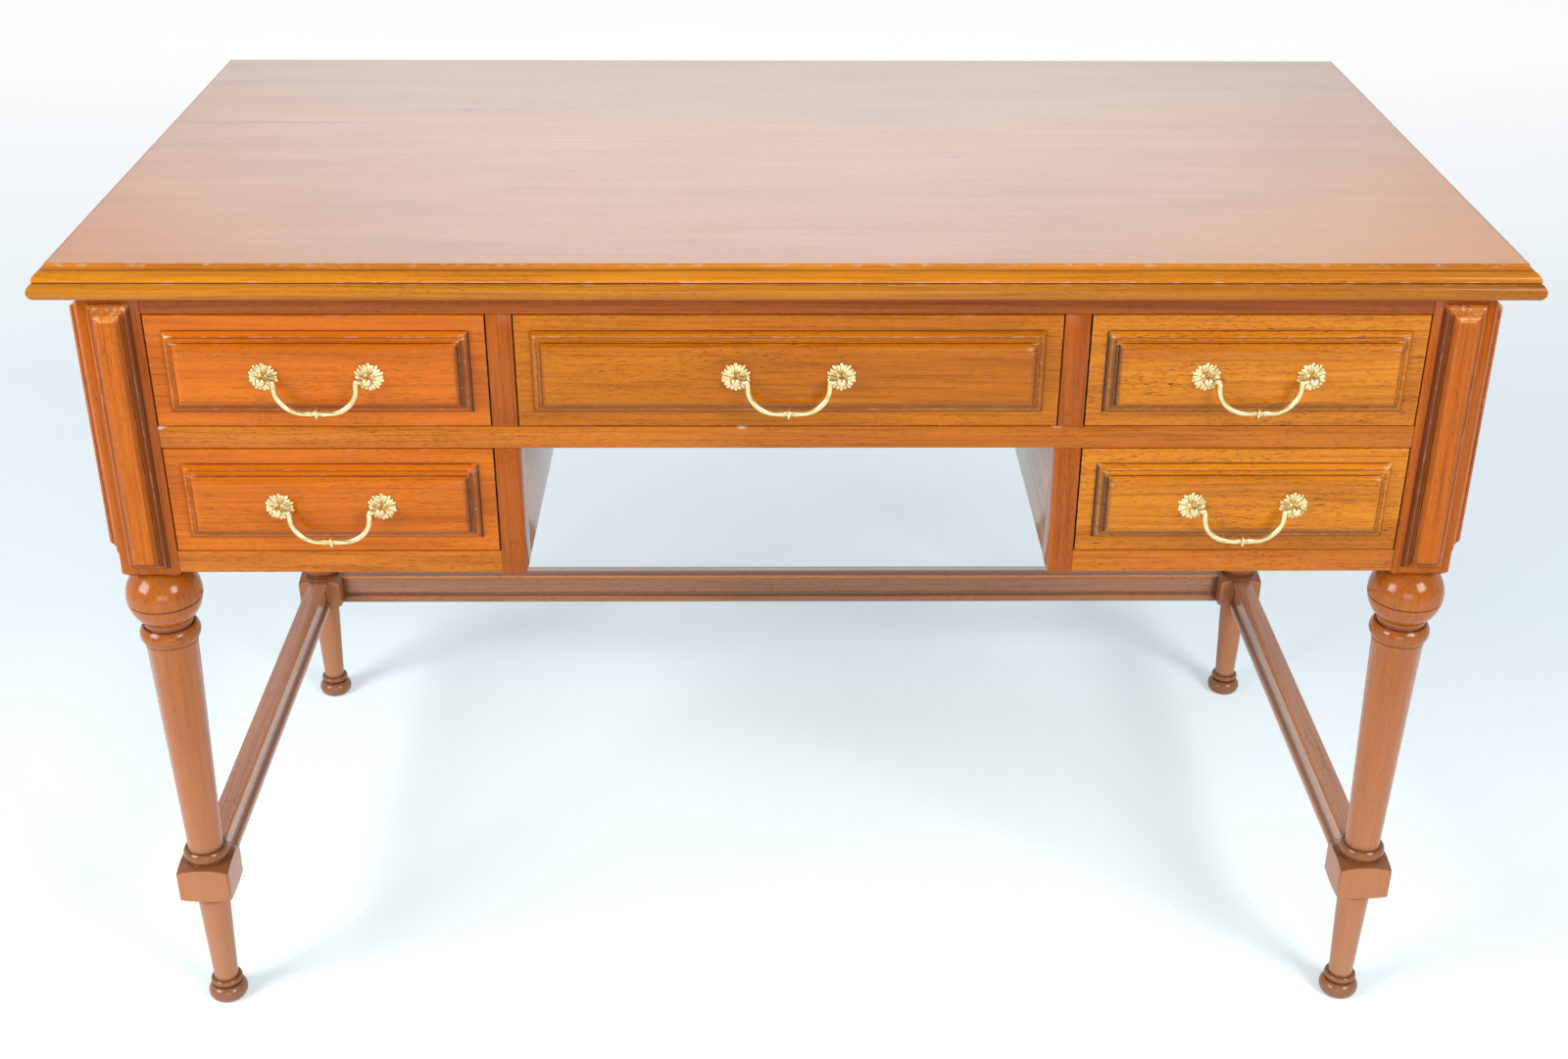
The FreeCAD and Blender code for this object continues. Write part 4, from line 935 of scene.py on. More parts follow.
@dataclass
class DeskTop:
    """The top board and its moulded edge."""

    thickness: float = 27.0 * MM
    reach: float = 13.0 * MM
    fillet: float = 4.5 * MM
    ledge: float = 2.0 * MM
    ovolo: float = 7.8 * MM
    quirk_depth: float = 0.9 * MM
    quirk: float = 1.2 * MM
    nose_reach: float = 4.0 * MM
    ovolo_rise: float = 1.7 * MM
    ease: float = 0.7 * MM
    corner_reach: float = 9.0 * MM

    def stations(self) -> list[Station]:
        """Lines of the edge, from the underside up.

        Returns:
            The stations.
        """
        ovolo_foot = -self.fillet - self.ovolo
        nose_top = ovolo_foot - self.quirk
        nose_foot = (self.nose_reach, -self.thickness)
        nose = bow(nose_foot, (self.nose_reach, nose_top), self.nose_reach, steps=12)
        quirk = self.nose_reach + self.quirk_depth
        ovolo_end = (self.reach - self.ledge, -self.fillet)
        ovolo = bow((self.nose_reach, ovolo_foot), ovolo_end, self.ovolo_rise, steps=8)
        # The quirk, the nose and the inner corner under the fillet carry painted shade; the nose's top, the
        # ovolo's foot and the upper edge carry wear
        return [
            Station(*nose_foot),
            *(Station(*point, shade_and_dirt=0.25) for point in nose[:-1]),
            Station(*nose[-1], shade_and_dirt=0.25, arris=0.25),
            Station(quirk, nose_top, shade_and_dirt=0.9),
            Station(quirk, ovolo_foot, shade_and_dirt=0.9),
            Station(self.nose_reach, ovolo_foot, arris=0.35),
            *(Station(*point) for point in ovolo[:-1]),
            Station(*ovolo_end, shade_and_dirt=0.55),
            Station(self.reach - self.ease, -self.fillet, shade_and_dirt=0.25),
            Station(self.reach, -self.fillet + self.ease, shade_and_dirt=0.1),
            *eased(self.reach, 0.0, self.ease, arris=0.5)[1:],
        ]

    def build(self) -> None:
        """Make the top in the place of its solid."""
        low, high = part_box("desk_top")
        draft = MeshDraft()
        middle = Vector(((low.x + high.x) / 2, (low.y + high.y) / 2, high.z))
        plane = Plane(middle, Vector((1, 0, 0)), Vector((0, 1, 0)))
        moulding = RunningMoulding(self.stations(), self.corner_reach)
        moulding.add_to(draft, plane, high.x - low.x, high.y - low.y, lambda side: 1 + side % 2)
        piece = draft.piece("moulded_top", [Finishes.TOP, Finishes.EDGE, Finishes.SIDE_EDGE])
        seat(piece, Body.CARCASE.value, "desk_top")


@dataclass
class FieldMoulding:
    """Moulding round a raised field: a swelling slope, a hollow slope and a nose, with ledges between."""

    width: float
    rise: float
    fillet: float
    ledge: float
    band: float
    quirk: float
    nose: float
    lower_share: float = 0.62
    lower_rise_share: float = 0.6
    lower_swell: float = 0.55 * MM
    upper_hollow: float = 0.33 * MM
    nose_swell: float = 0.8 * MM
    ease: float = 0.25 * MM
    past_field: float = 1.5 * MM

    def stations(self, margin: float) -> list[Station]:
        """Lines of the moulding from its foot to the field.

        Args:
            margin: Inset of its foot.

        Returns:
            The stations.
        """
        nose_foot = self.rise - self.nose
        band_top = nose_foot - self.quirk
        ledge_height = self.fillet + (band_top - self.fillet) * self.lower_rise_share
        lower_end = margin + (self.band - 2 * self.ledge) * self.lower_share
        upper_end = margin + self.band - self.ledge
        quirk = margin + self.band
        field = margin + self.width
        ledge_end = (lower_end + self.ledge, ledge_height)
        lower = bow((margin, self.fillet), (lower_end, ledge_height), self.lower_swell, steps=6)
        upper = bow(ledge_end, (upper_end, band_top), -self.upper_hollow, steps=5)
        nose = bow((quirk, nose_foot), (field, self.rise), self.nose_swell, steps=6)
        # Painted shade at the foot and in the quirks, painted glints for the upper places, and dirt with
        # painted shade for the sides named at each use
        return [
            Station(margin, self.ease, shade_and_dirt=0.95),
            Station(margin, self.fillet, shade_and_dirt=0.45, glint=0.8),
            *(Station(*point, glint=0.35, side_dirt_and_shade=0.75) for point in lower[:-1]),
            Station(*lower[-1], arris=0.2, glint=1.0, side_dirt_and_shade=0.15),
            Station(*ledge_end, shade_and_dirt=0.85, glint=0.3),
            *(Station(*point, glint=0.3, side_dirt_and_shade=0.70) for point in upper[:-1]),
            Station(*upper[-1], arris=0.15, glint=0.9),
            Station(quirk, band_top, shade_and_dirt=0.95),
            Station(quirk, nose_foot - self.ease, shade_and_dirt=0.7, glint=0.6),
            Station(quirk + self.ease / 2, nose_foot, arris=0.2, glint=1.0),
            *(Station(*point, glint=0.4, side_dirt_and_shade=0.30) for point in nose[:-1]),
            Station(*nose[-1], arris=0.05),
            Station(field + self.past_field, self.rise),
        ]


@dataclass
class DrawerFronts:
    """Five fronts with raised and moulded fields."""

    thickness: float = 20.0 * MM
    margin: float = 13.2 * MM
    ease: float = 0.6 * MM
    clear: float = 0.15 * MM
    foot_line: float = 0.7 * MM

    def moulding(self) -> FieldMoulding:
        """Sizes of the moulding on the fronts.

        Returns:
            The moulding.
        """
        return FieldMoulding(
            width=13.4 * MM, rise=10.8 * MM, fillet=1.0 * MM, ledge=1.1 * MM, band=8.4 * MM,
            quirk=1.2 * MM, nose=3.0 * MM,
        )

    def build(self) -> None:
        """Make each front in the place of its solid."""
        finishes = {
            "left": Finishes.LEFT_FRONT, "centre": Finishes.CENTRE_FRONT, "right": Finishes.RIGHT_FRONT,
        }
        moulding = self.moulding()
        # The line at each moulding's foot carries painted shade
        stations = [
            Station(0.0, -self.thickness),
            *eased(0.0, 0.0, self.ease, arris=0.12),
            Station(self.margin - self.foot_line, 0.0),
            Station(self.margin, 0.0, shade_and_dirt=0.9),
            *moulding.stations(self.margin),
        ]
        for name in DRAWERS:
            node = f"drawer_front_{name}"
            low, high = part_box(node)
            face = low.y + moulding.rise
            middle = Vector(((low.x + high.x) / 2, face, (low.z + high.z) / 2))
            plane = Plane(middle, Vector((1, 0, 0)), Vector((0, 0, 1)))
            draft = MeshDraft()
            width = high.x - low.x - 2 * self.clear
            # The lower side of each moulding takes painted shade, since it faces down
            RunningMoulding(stations).add_to(draft, plane, width, high.z - low.z, dirt_and_shade_places=LOWER_SHADE)
            piece = draft.piece(f"fielded_front_{name}", [finishes[name.split("_")[-1]]])
            seat(piece, Body.DRAWER.value + name, node)


@dataclass
class PostPanels:
    """Raised panels on the faces of the corner posts."""

    width: float = 35.0 * MM
    front_foot: float = 492.5 * MM
    side_foot: float = 501.5 * MM
    roof: float = 734.0 * MM
    face_x: float = 572.0 * MM
    face_y: float = -297.5 * MM
    corner_reach: float = 5.0 * MM
    upper_end: int = 2

    def moulding(self) -> FieldMoulding:
        """Sizes of the moulding on the panels.

        Returns:
            The moulding.
        """
        return FieldMoulding(
            width=10.5 * MM, rise=12.0 * MM, fillet=1.5 * MM, ledge=0.9 * MM, band=6.5 * MM,
            quirk=1.4 * MM, nose=3.2 * MM,
        )

    def build(self) -> None:
        """Make the two front panels and the four side panels as one piece."""
        draft = MeshDraft()
        # Each panel's foot carries painted shade, and its whole upper end takes painted glints
        stations = [Station(0.0, 0.0, shade_and_dirt=0.8), *self.moulding().stations(0.0)]
        moulding = RunningMoulding(stations, self.corner_reach, UPPER_SIDE)
        upright = Vector((0, 0, 1))
        for side in (-1, 1):
            height = self.roof - self.front_foot
            middle = Vector((side * POST_AXIS_X, self.face_y, self.front_foot + height / 2))
            plane = Plane(middle, Vector((1, 0, 0)), upright)
            # The inner side of each front panel takes dirt with painted shade
            inner = LEFT_DIRT_AND_SHADE if side > 0 else RIGHT_DIRT_AND_SHADE
            moulding.add_to(draft, plane, self.width, height, self.lit_end_finish, inner)
            height = self.roof - self.side_foot
            for along in (POST_FRONT_Y, POST_BACK_Y):
                middle = Vector((side * self.face_x, along, self.side_foot + height / 2))
                plane = Plane(middle, Vector((0, side, 0)), upright)
                moulding.add_to(draft, plane, self.width, height, self.lit_end_finish)
        piece = draft.piece("moulded_post_panels", [Finishes.POST_PANEL, Finishes.LIT_PANEL_END])
        seat(piece, Body.CARCASE.value, "post_panels")

    def lit_end_finish(self, side: int) -> int:
        """Finish of one side of a panel's moulding, where the upper end has a paler copy of its own that is
        painted light.

        Args:
            side: The side, counted from the lower one.

        Returns:
            The finish number.
        """
        return int(side == self.upper_end)


@dataclass
class TurnedLegs:
    """Four legs turned on the lathe, each with a block left square.

    Sizes come first, then the painted shade in the grooves and recesses and the darker varnish, at each
    line of the turning.
    """

    top: float = 482.0 * MM
    ball: float = 32.9 * MM
    ball_seat: float = 0.854
    ball_groove: float = 0.09
    ball_foot: float = 0.76
    seat_step: float = 1.5 * MM
    groove: float = 1.6 * MM
    groove_depth: float = 1.3 * MM
    groove_slope: float = 0.3 * MM
    groove_floor: float = 0.7
    groove_lip: float = 0.45
    groove_under: float = 0.3
    neck: float = 21.3 * MM
    neck_height: float = 5.0 * MM
    neck_top: float = 0.55
    collar: float = 22.8 * MM
    collar_height: float = 16.5 * MM
    collar_swell: float = 3.6 * MM
    cove: float = 4.0 * MM
    cove_step: float = 0.2 * MM
    cove_swell: float = 0.5 * MM
    shaft_top: float = 22.5 * MM
    shaft_foot: float = 16.0 * MM
    shaft_fillet: float = 2.0 * MM
    shaft_flare: float = 0.8 * MM
    ring: float = 18.5 * MM
    ring_height: float = 11.0 * MM
    ring_swell: float = 2.5 * MM
    ring_neck: float = 2.0 * MM
    block_half: float = 24.2 * MM
    block_foot: float = 130.0 * MM
    block_height: float = 37.5 * MM
    block_shoulder: float = 4.5 * MM
    block_swell: float = 0.8 * MM
    block_foot_shoulder: float = 3.0 * MM
    block_foot_swell: float = 0.5 * MM
    block_corner: float = 33.7 * MM
    under_ring: float = 16.5 * MM
    under_ring_height: float = 5.5 * MM
    under_ring_swell: float = 1.5 * MM
    lower_top: float = 15.0 * MM
    lower_step: float = 0.5 * MM
    lower_foot: float = 11.5 * MM
    foot_ring: float = 13.5 * MM
    foot_ring_height: float = 6.0 * MM
    foot_ring_swell: float = 1.6 * MM
    foot_neck: float = 2.0 * MM
    foot_step: float = 0.6 * MM
    bun_step: float = 0.3 * MM
    bun_top: float = 14.0 * MM
    bun_height: float = 16.0 * MM
    bun_swell: float = 4.1 * MM
    foot_flat: float = 15.0 * MM
    # Painted shade in the grooves, the recesses and where the turning meets the post and the block, and how
    # far it reaches
    shade_reach: float = 4.0 * MM
    seat_shade: float = 0.8
    groove_shade: float = 0.95
    lip_shade: float = 0.2
    neck_shade: float = 0.55
    neck_foot_shade: float = 0.8
    cove_edge_shade: float = 0.5
    cove_shade: float = 0.1
    shaft_shade: float = 0.25
    shaft_foot_shade: float = 0.8
    block_top_shade: float = 0.7
    lower_top_shade: float = 0.5
    foot_shade: float = 0.6
    foot_neck_shade: float = 0.7
    ball_varnish: float = 0.10
    collar_varnish: float = 0.25
    ring_varnish: float = 0.45
    shoulder_varnish: float = 0.55
    foot_varnish: float = 0.45
    ring_edge_shade: float = 0.75
    segments: int = 128

    def upper(self) -> list[Line]:
        """Radius, height and darkening from the seat of the ball to the head of the shaft: painted shade in
        the recesses, darker varnish on the ball and the collar.

        Returns:
            The lines of the turning, downwards.
        """
        middle = self.top - self.ball * self.ball_seat
        start = math.asin(self.ball_seat)
        groove = math.asin(-self.ball_groove)
        after = math.asin((-self.ball_groove * self.ball - self.groove) / self.ball)
        end = math.asin(-self.ball_foot)
        groove_top = middle - self.ball * self.ball_groove
        floor = self.ball - self.groove_depth
        collar_top = middle - self.ball * self.ball_foot - self.neck_height
        cove_top = collar_top - self.collar_height
        cove_edge = (self.collar, cove_top - self.cove_step)
        cove = bow(cove_edge, (self.shaft_top, cove_top - self.cove), self.cove_swell, steps=3)
        return [
            (self.ball * math.cos(start) - self.seat_step, self.top, self.seat_shade),
            *self.globe(middle, start, groove, steps=16),
            (floor, groove_top - self.groove_slope, self.groove_shade),
            (floor, groove_top - self.groove * self.groove_floor, self.groove_shade),
            (self.ball - self.groove_depth * self.groove_lip, groove_top - self.groove, self.lip_shade),
            *self.globe(middle, after, end, steps=14, under=self.groove_depth * self.groove_under),
            (self.neck, collar_top + self.neck_height * self.neck_top, self.neck_shade),
            (self.neck, collar_top, self.neck_foot_shade),
            *self.bead(self.collar, collar_top, self.collar_height, self.collar_swell, self.collar_varnish),
            (*cove_edge, self.cove_edge_shade),
            *((*point, self.cove_shade) for point in cove),
        ]

    def globe(
        self, middle: float, start: float, end: float, steps: int, under: float = 0.0
    ) -> list[Line]:
        """Lines of the ball between two latitudes.

        Args:
            middle: Height of the ball's middle.
            start: First latitude.
            end: Last latitude.
            steps: Number of lines less one.
            under: How much the radius is less than the ball's at the start, easing to none.

        Returns:
            The lines.
        """
        lines = []
        for step in range(steps + 1):
            angle = start + (end - start) * step / steps
            radius = self.ball - under * (1 - step / steps)
            height = middle + self.ball * math.sin(angle)
            lines.append((radius * math.cos(angle), height, self.ball_varnish))
        return lines

    def bead(
        self, radius: float, top: float, height: float, swell: float, varnish: float
    ) -> list[Line]:
        """Lines of a round ring.

        Args:
            radius: Radius at its upper and lower edges.
            top: Height of its upper edge.
            height: Its own height.
            swell: How far it stands out.
            varnish: How dark the varnish on it is.

        Returns:
            The lines.
        """
        arc = bow((radius, top), (radius, top - height), swell, steps=12)
        round_lines = ((*point, varnish) for point in arc[:-1])
        return [(radius, top, self.ring_edge_shade), *round_lines, (*arc[-1], self.ring_edge_shade)]

    def lower(self) -> list[Line]:
        """Radius, height and darkening from the shaft's foot to the floor: painted shade in the recesses,
        darker varnish on the rings, the block's shoulder and the bun.

        Returns:
            The lines of the turning, downwards.
        """
        block_top = self.block_foot + self.block_height
        ring_top = block_top + self.ring_neck + self.ring_height
        fillet_top = ring_top + self.shaft_fillet
        corner_top = (self.block_corner, block_top - self.block_shoulder)
        shoulder = bow((self.ring, block_top), corner_top, self.block_swell, steps=9)
        corner_foot = (self.block_corner, self.block_foot + self.block_foot_shoulder)
        under = bow(corner_foot, (self.under_ring, self.block_foot), self.block_foot_swell, steps=7)
        lower_top = self.block_foot - self.under_ring_height
        foot_ring_foot = self.bun_height + self.foot_neck
        foot_ring_top = foot_ring_foot + self.foot_ring_height
        bun = bow((self.bun_top, self.bun_height), (self.foot_flat, 0.0), self.bun_swell, steps=18)
        return [
            (self.shaft_foot, fillet_top + self.shade_reach, 0.0),
            (self.shaft_foot, fillet_top, self.shaft_shade),
            (self.shaft_foot + self.shaft_flare, ring_top, self.shaft_foot_shade),
            *self.bead(self.ring, ring_top, self.ring_height, self.ring_swell, self.ring_varnish),
            (self.ring, block_top, self.block_top_shade),
            *((*point, self.shoulder_varnish) for point in shoulder),
            (*corner_foot, 0.0),
            *((*point, 0.0) for point in under),
            *self.bead(
                self.under_ring, self.block_foot, self.under_ring_height, self.under_ring_swell,
                self.ring_varnish,
            ),
            (self.lower_top, lower_top - self.lower_step, self.lower_top_shade),
            (self.lower_top, lower_top - self.shade_reach, 0.0),
            (self.lower_foot, foot_ring_top + self.shade_reach, 0.0),
            (self.lower_foot, foot_ring_top, self.foot_shade),
            *self.bead(
                self.foot_ring, foot_ring_top, self.foot_ring_height, self.foot_ring_swell,
                self.foot_varnish,
            ),
            (self.lower_foot, foot_ring_foot - self.foot_step, self.foot_neck_shade),
            (self.lower_foot, self.bun_height + self.bun_step, self.foot_neck_shade),
            (self.bun_top, self.bun_height, self.ring_edge_shade),
            *((*point, self.foot_varnish) for point in bun),
        ]

    def build(self) -> None:
        """Make the four legs in the place of their solids."""
        for end, along in (("front", POST_FRONT_Y), ("back", POST_BACK_Y)):
            for side, across in (("left", -POST_AXIS_X), ("right", POST_AXIS_X)):
                node = f"leg_{end}_{side}"
                piece = self.turn(f"turned_{node}", Vector((across, along, 0.0)))
                seat(piece, Body.CARCASE.value, node)

    def turn(self, name: str, axis: Vector) -> bpy.types.Object:
        """Turn one leg.

        Args:
            name: Name of the piece.
            axis: Foot of its axis.

        Returns:
            The leg.
        """
        draft = MeshDraft()
        rings = []
        block_top = self.block_foot + self.block_height
        for radius, height, shade_and_dirt in reversed([*self.upper(), *self.lower()]):
            ring = []
            for number in range(self.segments):
                angle = 2 * math.pi * number / self.segments
                reach = radius
                if self.block_foot <= height <= block_top:
                    reach = min(radius, self.block_half / max(abs(math.cos(angle)), abs(math.sin(angle))))
                spot = Vector((reach * math.cos(angle), reach * math.sin(angle), height))
                ring.append(draft.corner(axis + spot, shade_and_dirt if reach == radius else 0.0))
            rings.append(ring)
        draft.loft(rings)
        draft.face(list(reversed(rings[0])))
        draft.face(rings[-1])
        return draft.piece(name, [Finishes.LEG])


class CarcaseTimber:
    """Posts, rails, stiles and panels, with the arrises of their solids eased."""

    ease: float = 0.6 * MM
    ease_segments: int = 2
    weld: float = WELD * 10
    flat_angle: float = math.radians(0.5)
    sharp_angle: float = math.radians(40.0)

    def __init__(self, nodes: dict[str, bpy.types.Object]) -> None:
        """Keep the frame's solids at hand.

        Args:
            nodes: Objects of the solids by name.
        """
        self.nodes = nodes
        self.finishes: dict[str, TimberFinish] = {
            "corner_post_front_left": Finishes.POST,
            "corner_post_front_right": Finishes.POST,
            "corner_post_back_left": Finishes.POST,
            "corner_post_back_right": Finishes.POST,
            "top_rail": Finishes.TOP_RAIL,
            "mid_rail": Finishes.RAIL,
            "bottom_rails": Finishes.RAIL,
            "dividers": Finishes.STILE,
            "inner_stiles": Finishes.STILE,
            "knee_panels": Finishes.KNEE_PANEL,
            "end_panels": Finishes.END_PANEL,
            "back_panel": Finishes.BACK,
            "pedestal_backs": Finishes.BACK,
        }

    def build(self) -> None:
        """Ease every solid in the list."""
        for node, finish in self.finishes.items():
            piece = self.eased_copy(node, finish)
            seat(piece, Body.CARCASE.value, node)

    def eased_copy(self, node: str, finish: TimberFinish) -> bpy.types.Object:
        """Copy a solid with its outer arrises rounded.

        Args:
            node: Name of the solid.
            finish: Finish of the copy.

        Returns:
            The copy.
        """
        work = bmesh.new()
        work.from_mesh(self.nodes[node].data)
        bmesh.ops.remove_doubles(work, verts=work.verts, dist=self.weld)
        bmesh.ops.dissolve_limit(work, angle_limit=self.flat_angle, verts=work.verts, edges=work.edges)
        sharp = [
            edge for edge in work.edges
            if edge.is_manifold and edge.is_convex and edge.calc_face_angle() > self.sharp_angle
        ]
        bmesh.ops.bevel(
            work, geom=sharp, offset=self.ease, offset_type="OFFSET", segments=self.ease_segments,
            profile=0.5, affect="EDGES", clamp_overlap=True,
        )
        mesh = bpy.data.meshes.new(f"eased_{node}")
        work.to_mesh(mesh)
        work.free()
        mesh.materials.clear()
        mesh.materials.append(finish.material())
        smooth(mesh)
        piece = bpy.data.objects.new(f"eased_{node}", mesh)
        bpy.context.scene.collection.objects.link(piece)
        return piece


@dataclass
class Stretchers:
    """Three stretchers between the leg blocks, each with a channel and two beads on either face."""

    timber: CarcaseTimber
    half_width: float = 11.0 * MM
    top_bead: float = 3.5 * MM
    cove: float = 4.5 * MM
    bottom_bead: float = 6.5 * MM
    recess: float = 3.5 * MM
    tenon: float = 14.0 * MM
    groove_line: float = 1.8 * MM
    end_dark_reach: float = 10.0 * MM
    bead_skin: float = 0.8 * MM
    # Shares of painted shade under the top flange and at the cove's foot, and of darkening towards the ends
    # by the blocks
    flange_shade: float = 0.90
    cove_foot_shade: float = 0.60
    end_darkening: float = 0.55

    def build(self) -> None:
        """Make the three stretchers in the place of their solids."""
        side = (Finishes.SIDE_STRETCHER, Finishes.LIT_SIDE_BEAD)
        cross = (Finishes.CROSS_STRETCHER, Finishes.LIT_CROSS_BEAD)
        for name, along, (finish, bead) in (("left", 1, side), ("right", 1, side), ("back", 0, cross)):
            node = f"stretcher_{name}"
            piece = self.timber.eased_copy(node, finish)
            piece.data.materials.append(bead.material())
            self.paint_shade_and_highlights(piece.data, along, *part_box(node))
            seat(piece, Body.CARCASE.value, node)

    def paint_shade_and_highlights(self, mesh: bpy.types.Mesh, along: int, low: Vector, high: Vector) -> None:
        """Paint shade into the grooves, darken the ends of a stretcher, and set off its beads with painted
        highlights.

        Args:
            mesh: Its mesh.
            along: Axis that it runs along.
            low: Its lowest corner, tenons included.
            high: Its highest corner.
        """
        across = 1 - along
        middle = (low[across] + high[across]) / 2
        roof, floor = high.z - self.top_bead, low.z + self.bottom_bead
        ends = low[along] + self.tenon + self.end_dark_reach, high[along] - self.tenon - self.end_dark_reach
        work = bmesh.new()
        work.from_mesh(mesh)
        groove_foot = floor + self.cove
        lines = (roof - self.groove_line, groove_foot + self.groove_line)
        for axis, place in (*((2, line) for line in lines), *((along, end) for end in ends)):
            normal = Vector([float(axis == number) for number in range(3)])
            parts = [*work.verts, *work.edges, *work.faces]
            bmesh.ops.bisect_plane(work, geom=parts, dist=WELD, plane_co=normal * place, plane_no=normal)
        layer = work.verts.layers.float.new("shade_and_dirt")
        near = self.groove_line / 2
        for corner in work.verts:
            depth = self.half_width - abs(corner.co[across] - middle)
            in_channel = self.recess / 2 < depth and floor < corner.co.z < roof + near
            # Painted shade under the top flange and at the cove's foot; darker towards the ends by the
            # blocks
            shares = [
                self.flange_shade if in_channel and corner.co.z > roof - near else 0.0,
                self.cove_foot_shade if in_channel and corner.co.z < groove_foot + near else 0.0,
                self.end_darkening if not ends[0] - near < corner.co[along] < ends[1] + near else 0.0,
            ]
            corner[layer] = max(shares)
        # The faces of the top beads and of the lower bead's cove take the paler copy: painted highlights
        for face in work.faces:
            spot = face.calc_center_median()
            depth = self.half_width - abs(spot[across] - middle)
            upper = spot.z > roof and depth < self.bead_skin
            lower = floor < spot.z < floor + self.cove / 2 and depth < self.recess / 2
            face.material_index = int(upper or lower)
        work.to_mesh(mesh)
        work.free()
        smooth(mesh)


class DrawerBoxes:
    """Inside timber of the drawers and the runs that carry them, kept as solids."""

    def __init__(self, nodes: dict[str, bpy.types.Object]) -> None:
        """Keep the frame's solids at hand.

        Args:
            nodes: Objects of the solids by name.
        """
        self.nodes = nodes

    def build(self) -> None:
        """Give every inside solid its timber."""
        for name in DRAWERS:
            self.dress(f"drawer_sides_{name}", Finishes.BOX_SIDE)
            self.dress(f"drawer_back_{name}", Finishes.BOX_BACK)
            self.dress(f"drawer_bottom_{name}", Finishes.BOX_BACK)
        for node in ("drawer_runners", "drawer_stops", "top_cleats"):
            self.dress(node, Finishes.RUNNER)

    def dress(self, node: str, finish: Finish) -> None:
        """Give a solid its material.

        Args:
            node: Name of the solid.
            finish: Its finish.
        """
        mesh = self.nodes[node].data
        mesh.materials.clear()
        mesh.materials.append(finish.material())


class NodeBench(Bench):
    """Adds geometry nodes to one new tree and joins them."""

    def __init__(self, name: str, inputs: dict[str, str]) -> None:
        """Start a tree with named inputs.

        Args:
            name: Name of the tree.
            inputs: Socket type of each input by name.
        """
        super().__init__(bpy.data.node_groups.new(name, "GeometryNodeTree"))
        self.sockets: dict[str, str] = {}
        self.tree.interface.new_socket("Geometry", in_out="INPUT", socket_type="NodeSocketGeometry")
        for label, kind in inputs.items():
            made = self.tree.interface.new_socket(label, in_out="INPUT", socket_type=kind)
            self.sockets[label] = made.identifier
        self.tree.interface.new_socket("Geometry", in_out="OUTPUT", socket_type="NodeSocketGeometry")
        self.start = self.add("NodeGroupInput")
        self.end = self.add("NodeGroupOutput")

    def given(self, label: str) -> Socket:
        """Output of one of the tree's own inputs.

        Args:
            label: Name of the input.

        Returns:
            The socket.
        """
        return self.start.outputs[label]

    def triple(self, x: Any, y: Any, z: Any) -> Socket:
        """Vector of three sockets or numbers.

        Args:
            x: First of them.
            y: Second of them.
            z: Third of them.

        Returns:
            The vector's socket.
        """
        return self.add("ShaderNodeCombineXYZ", X=x, Y=y, Z=z).outputs[0]

    def join(self, parts: Iterable[Socket]) -> Socket:
        """Join several geometries.

        Args:
            parts: Their sockets.

        Returns:
            The joined geometry's socket.
        """
        node = self.add("GeometryNodeJoinGeometry")
        for part in parts:
            self.feed(node.inputs[0], part)
        return node.outputs[0]

    def finish(self, geometry: Socket, metal: Socket) -> None:
        """Realize what is made, shade it smooth, give it its metal and end the tree.

        Args:
            geometry: What is made.
            metal: Material socket.
        """
        real = self.add("GeometryNodeRealizeInstances", Geometry=geometry).outputs[0]
        shaded = self.add("GeometryNodeSetShadeSmooth", Geometry=real).outputs[0]
        clad = self.add("GeometryNodeSetMaterial", Geometry=shaded, Material=metal).outputs[0]
        self.feed(self.end.inputs[0], clad)

    def apply(self, piece: bpy.types.Object, values: dict[str, Any]) -> None:
        """Run the tree on a piece and keep the result as its plain mesh.

        Args:
            piece: The piece.
            values: Values of the tree's inputs.
        """
        modifier = piece.modifiers.new("made", "NODES")
        modifier.node_group = self.tree
        for label, value in values.items():
            modifier[self.sockets[label]] = value
        made = piece.evaluated_get(bpy.context.evaluated_depsgraph_get())
        mesh = bpy.data.meshes.new_from_object(made)
        piece.modifiers.clear()
        piece.data = mesh
        mesh.name = piece.name


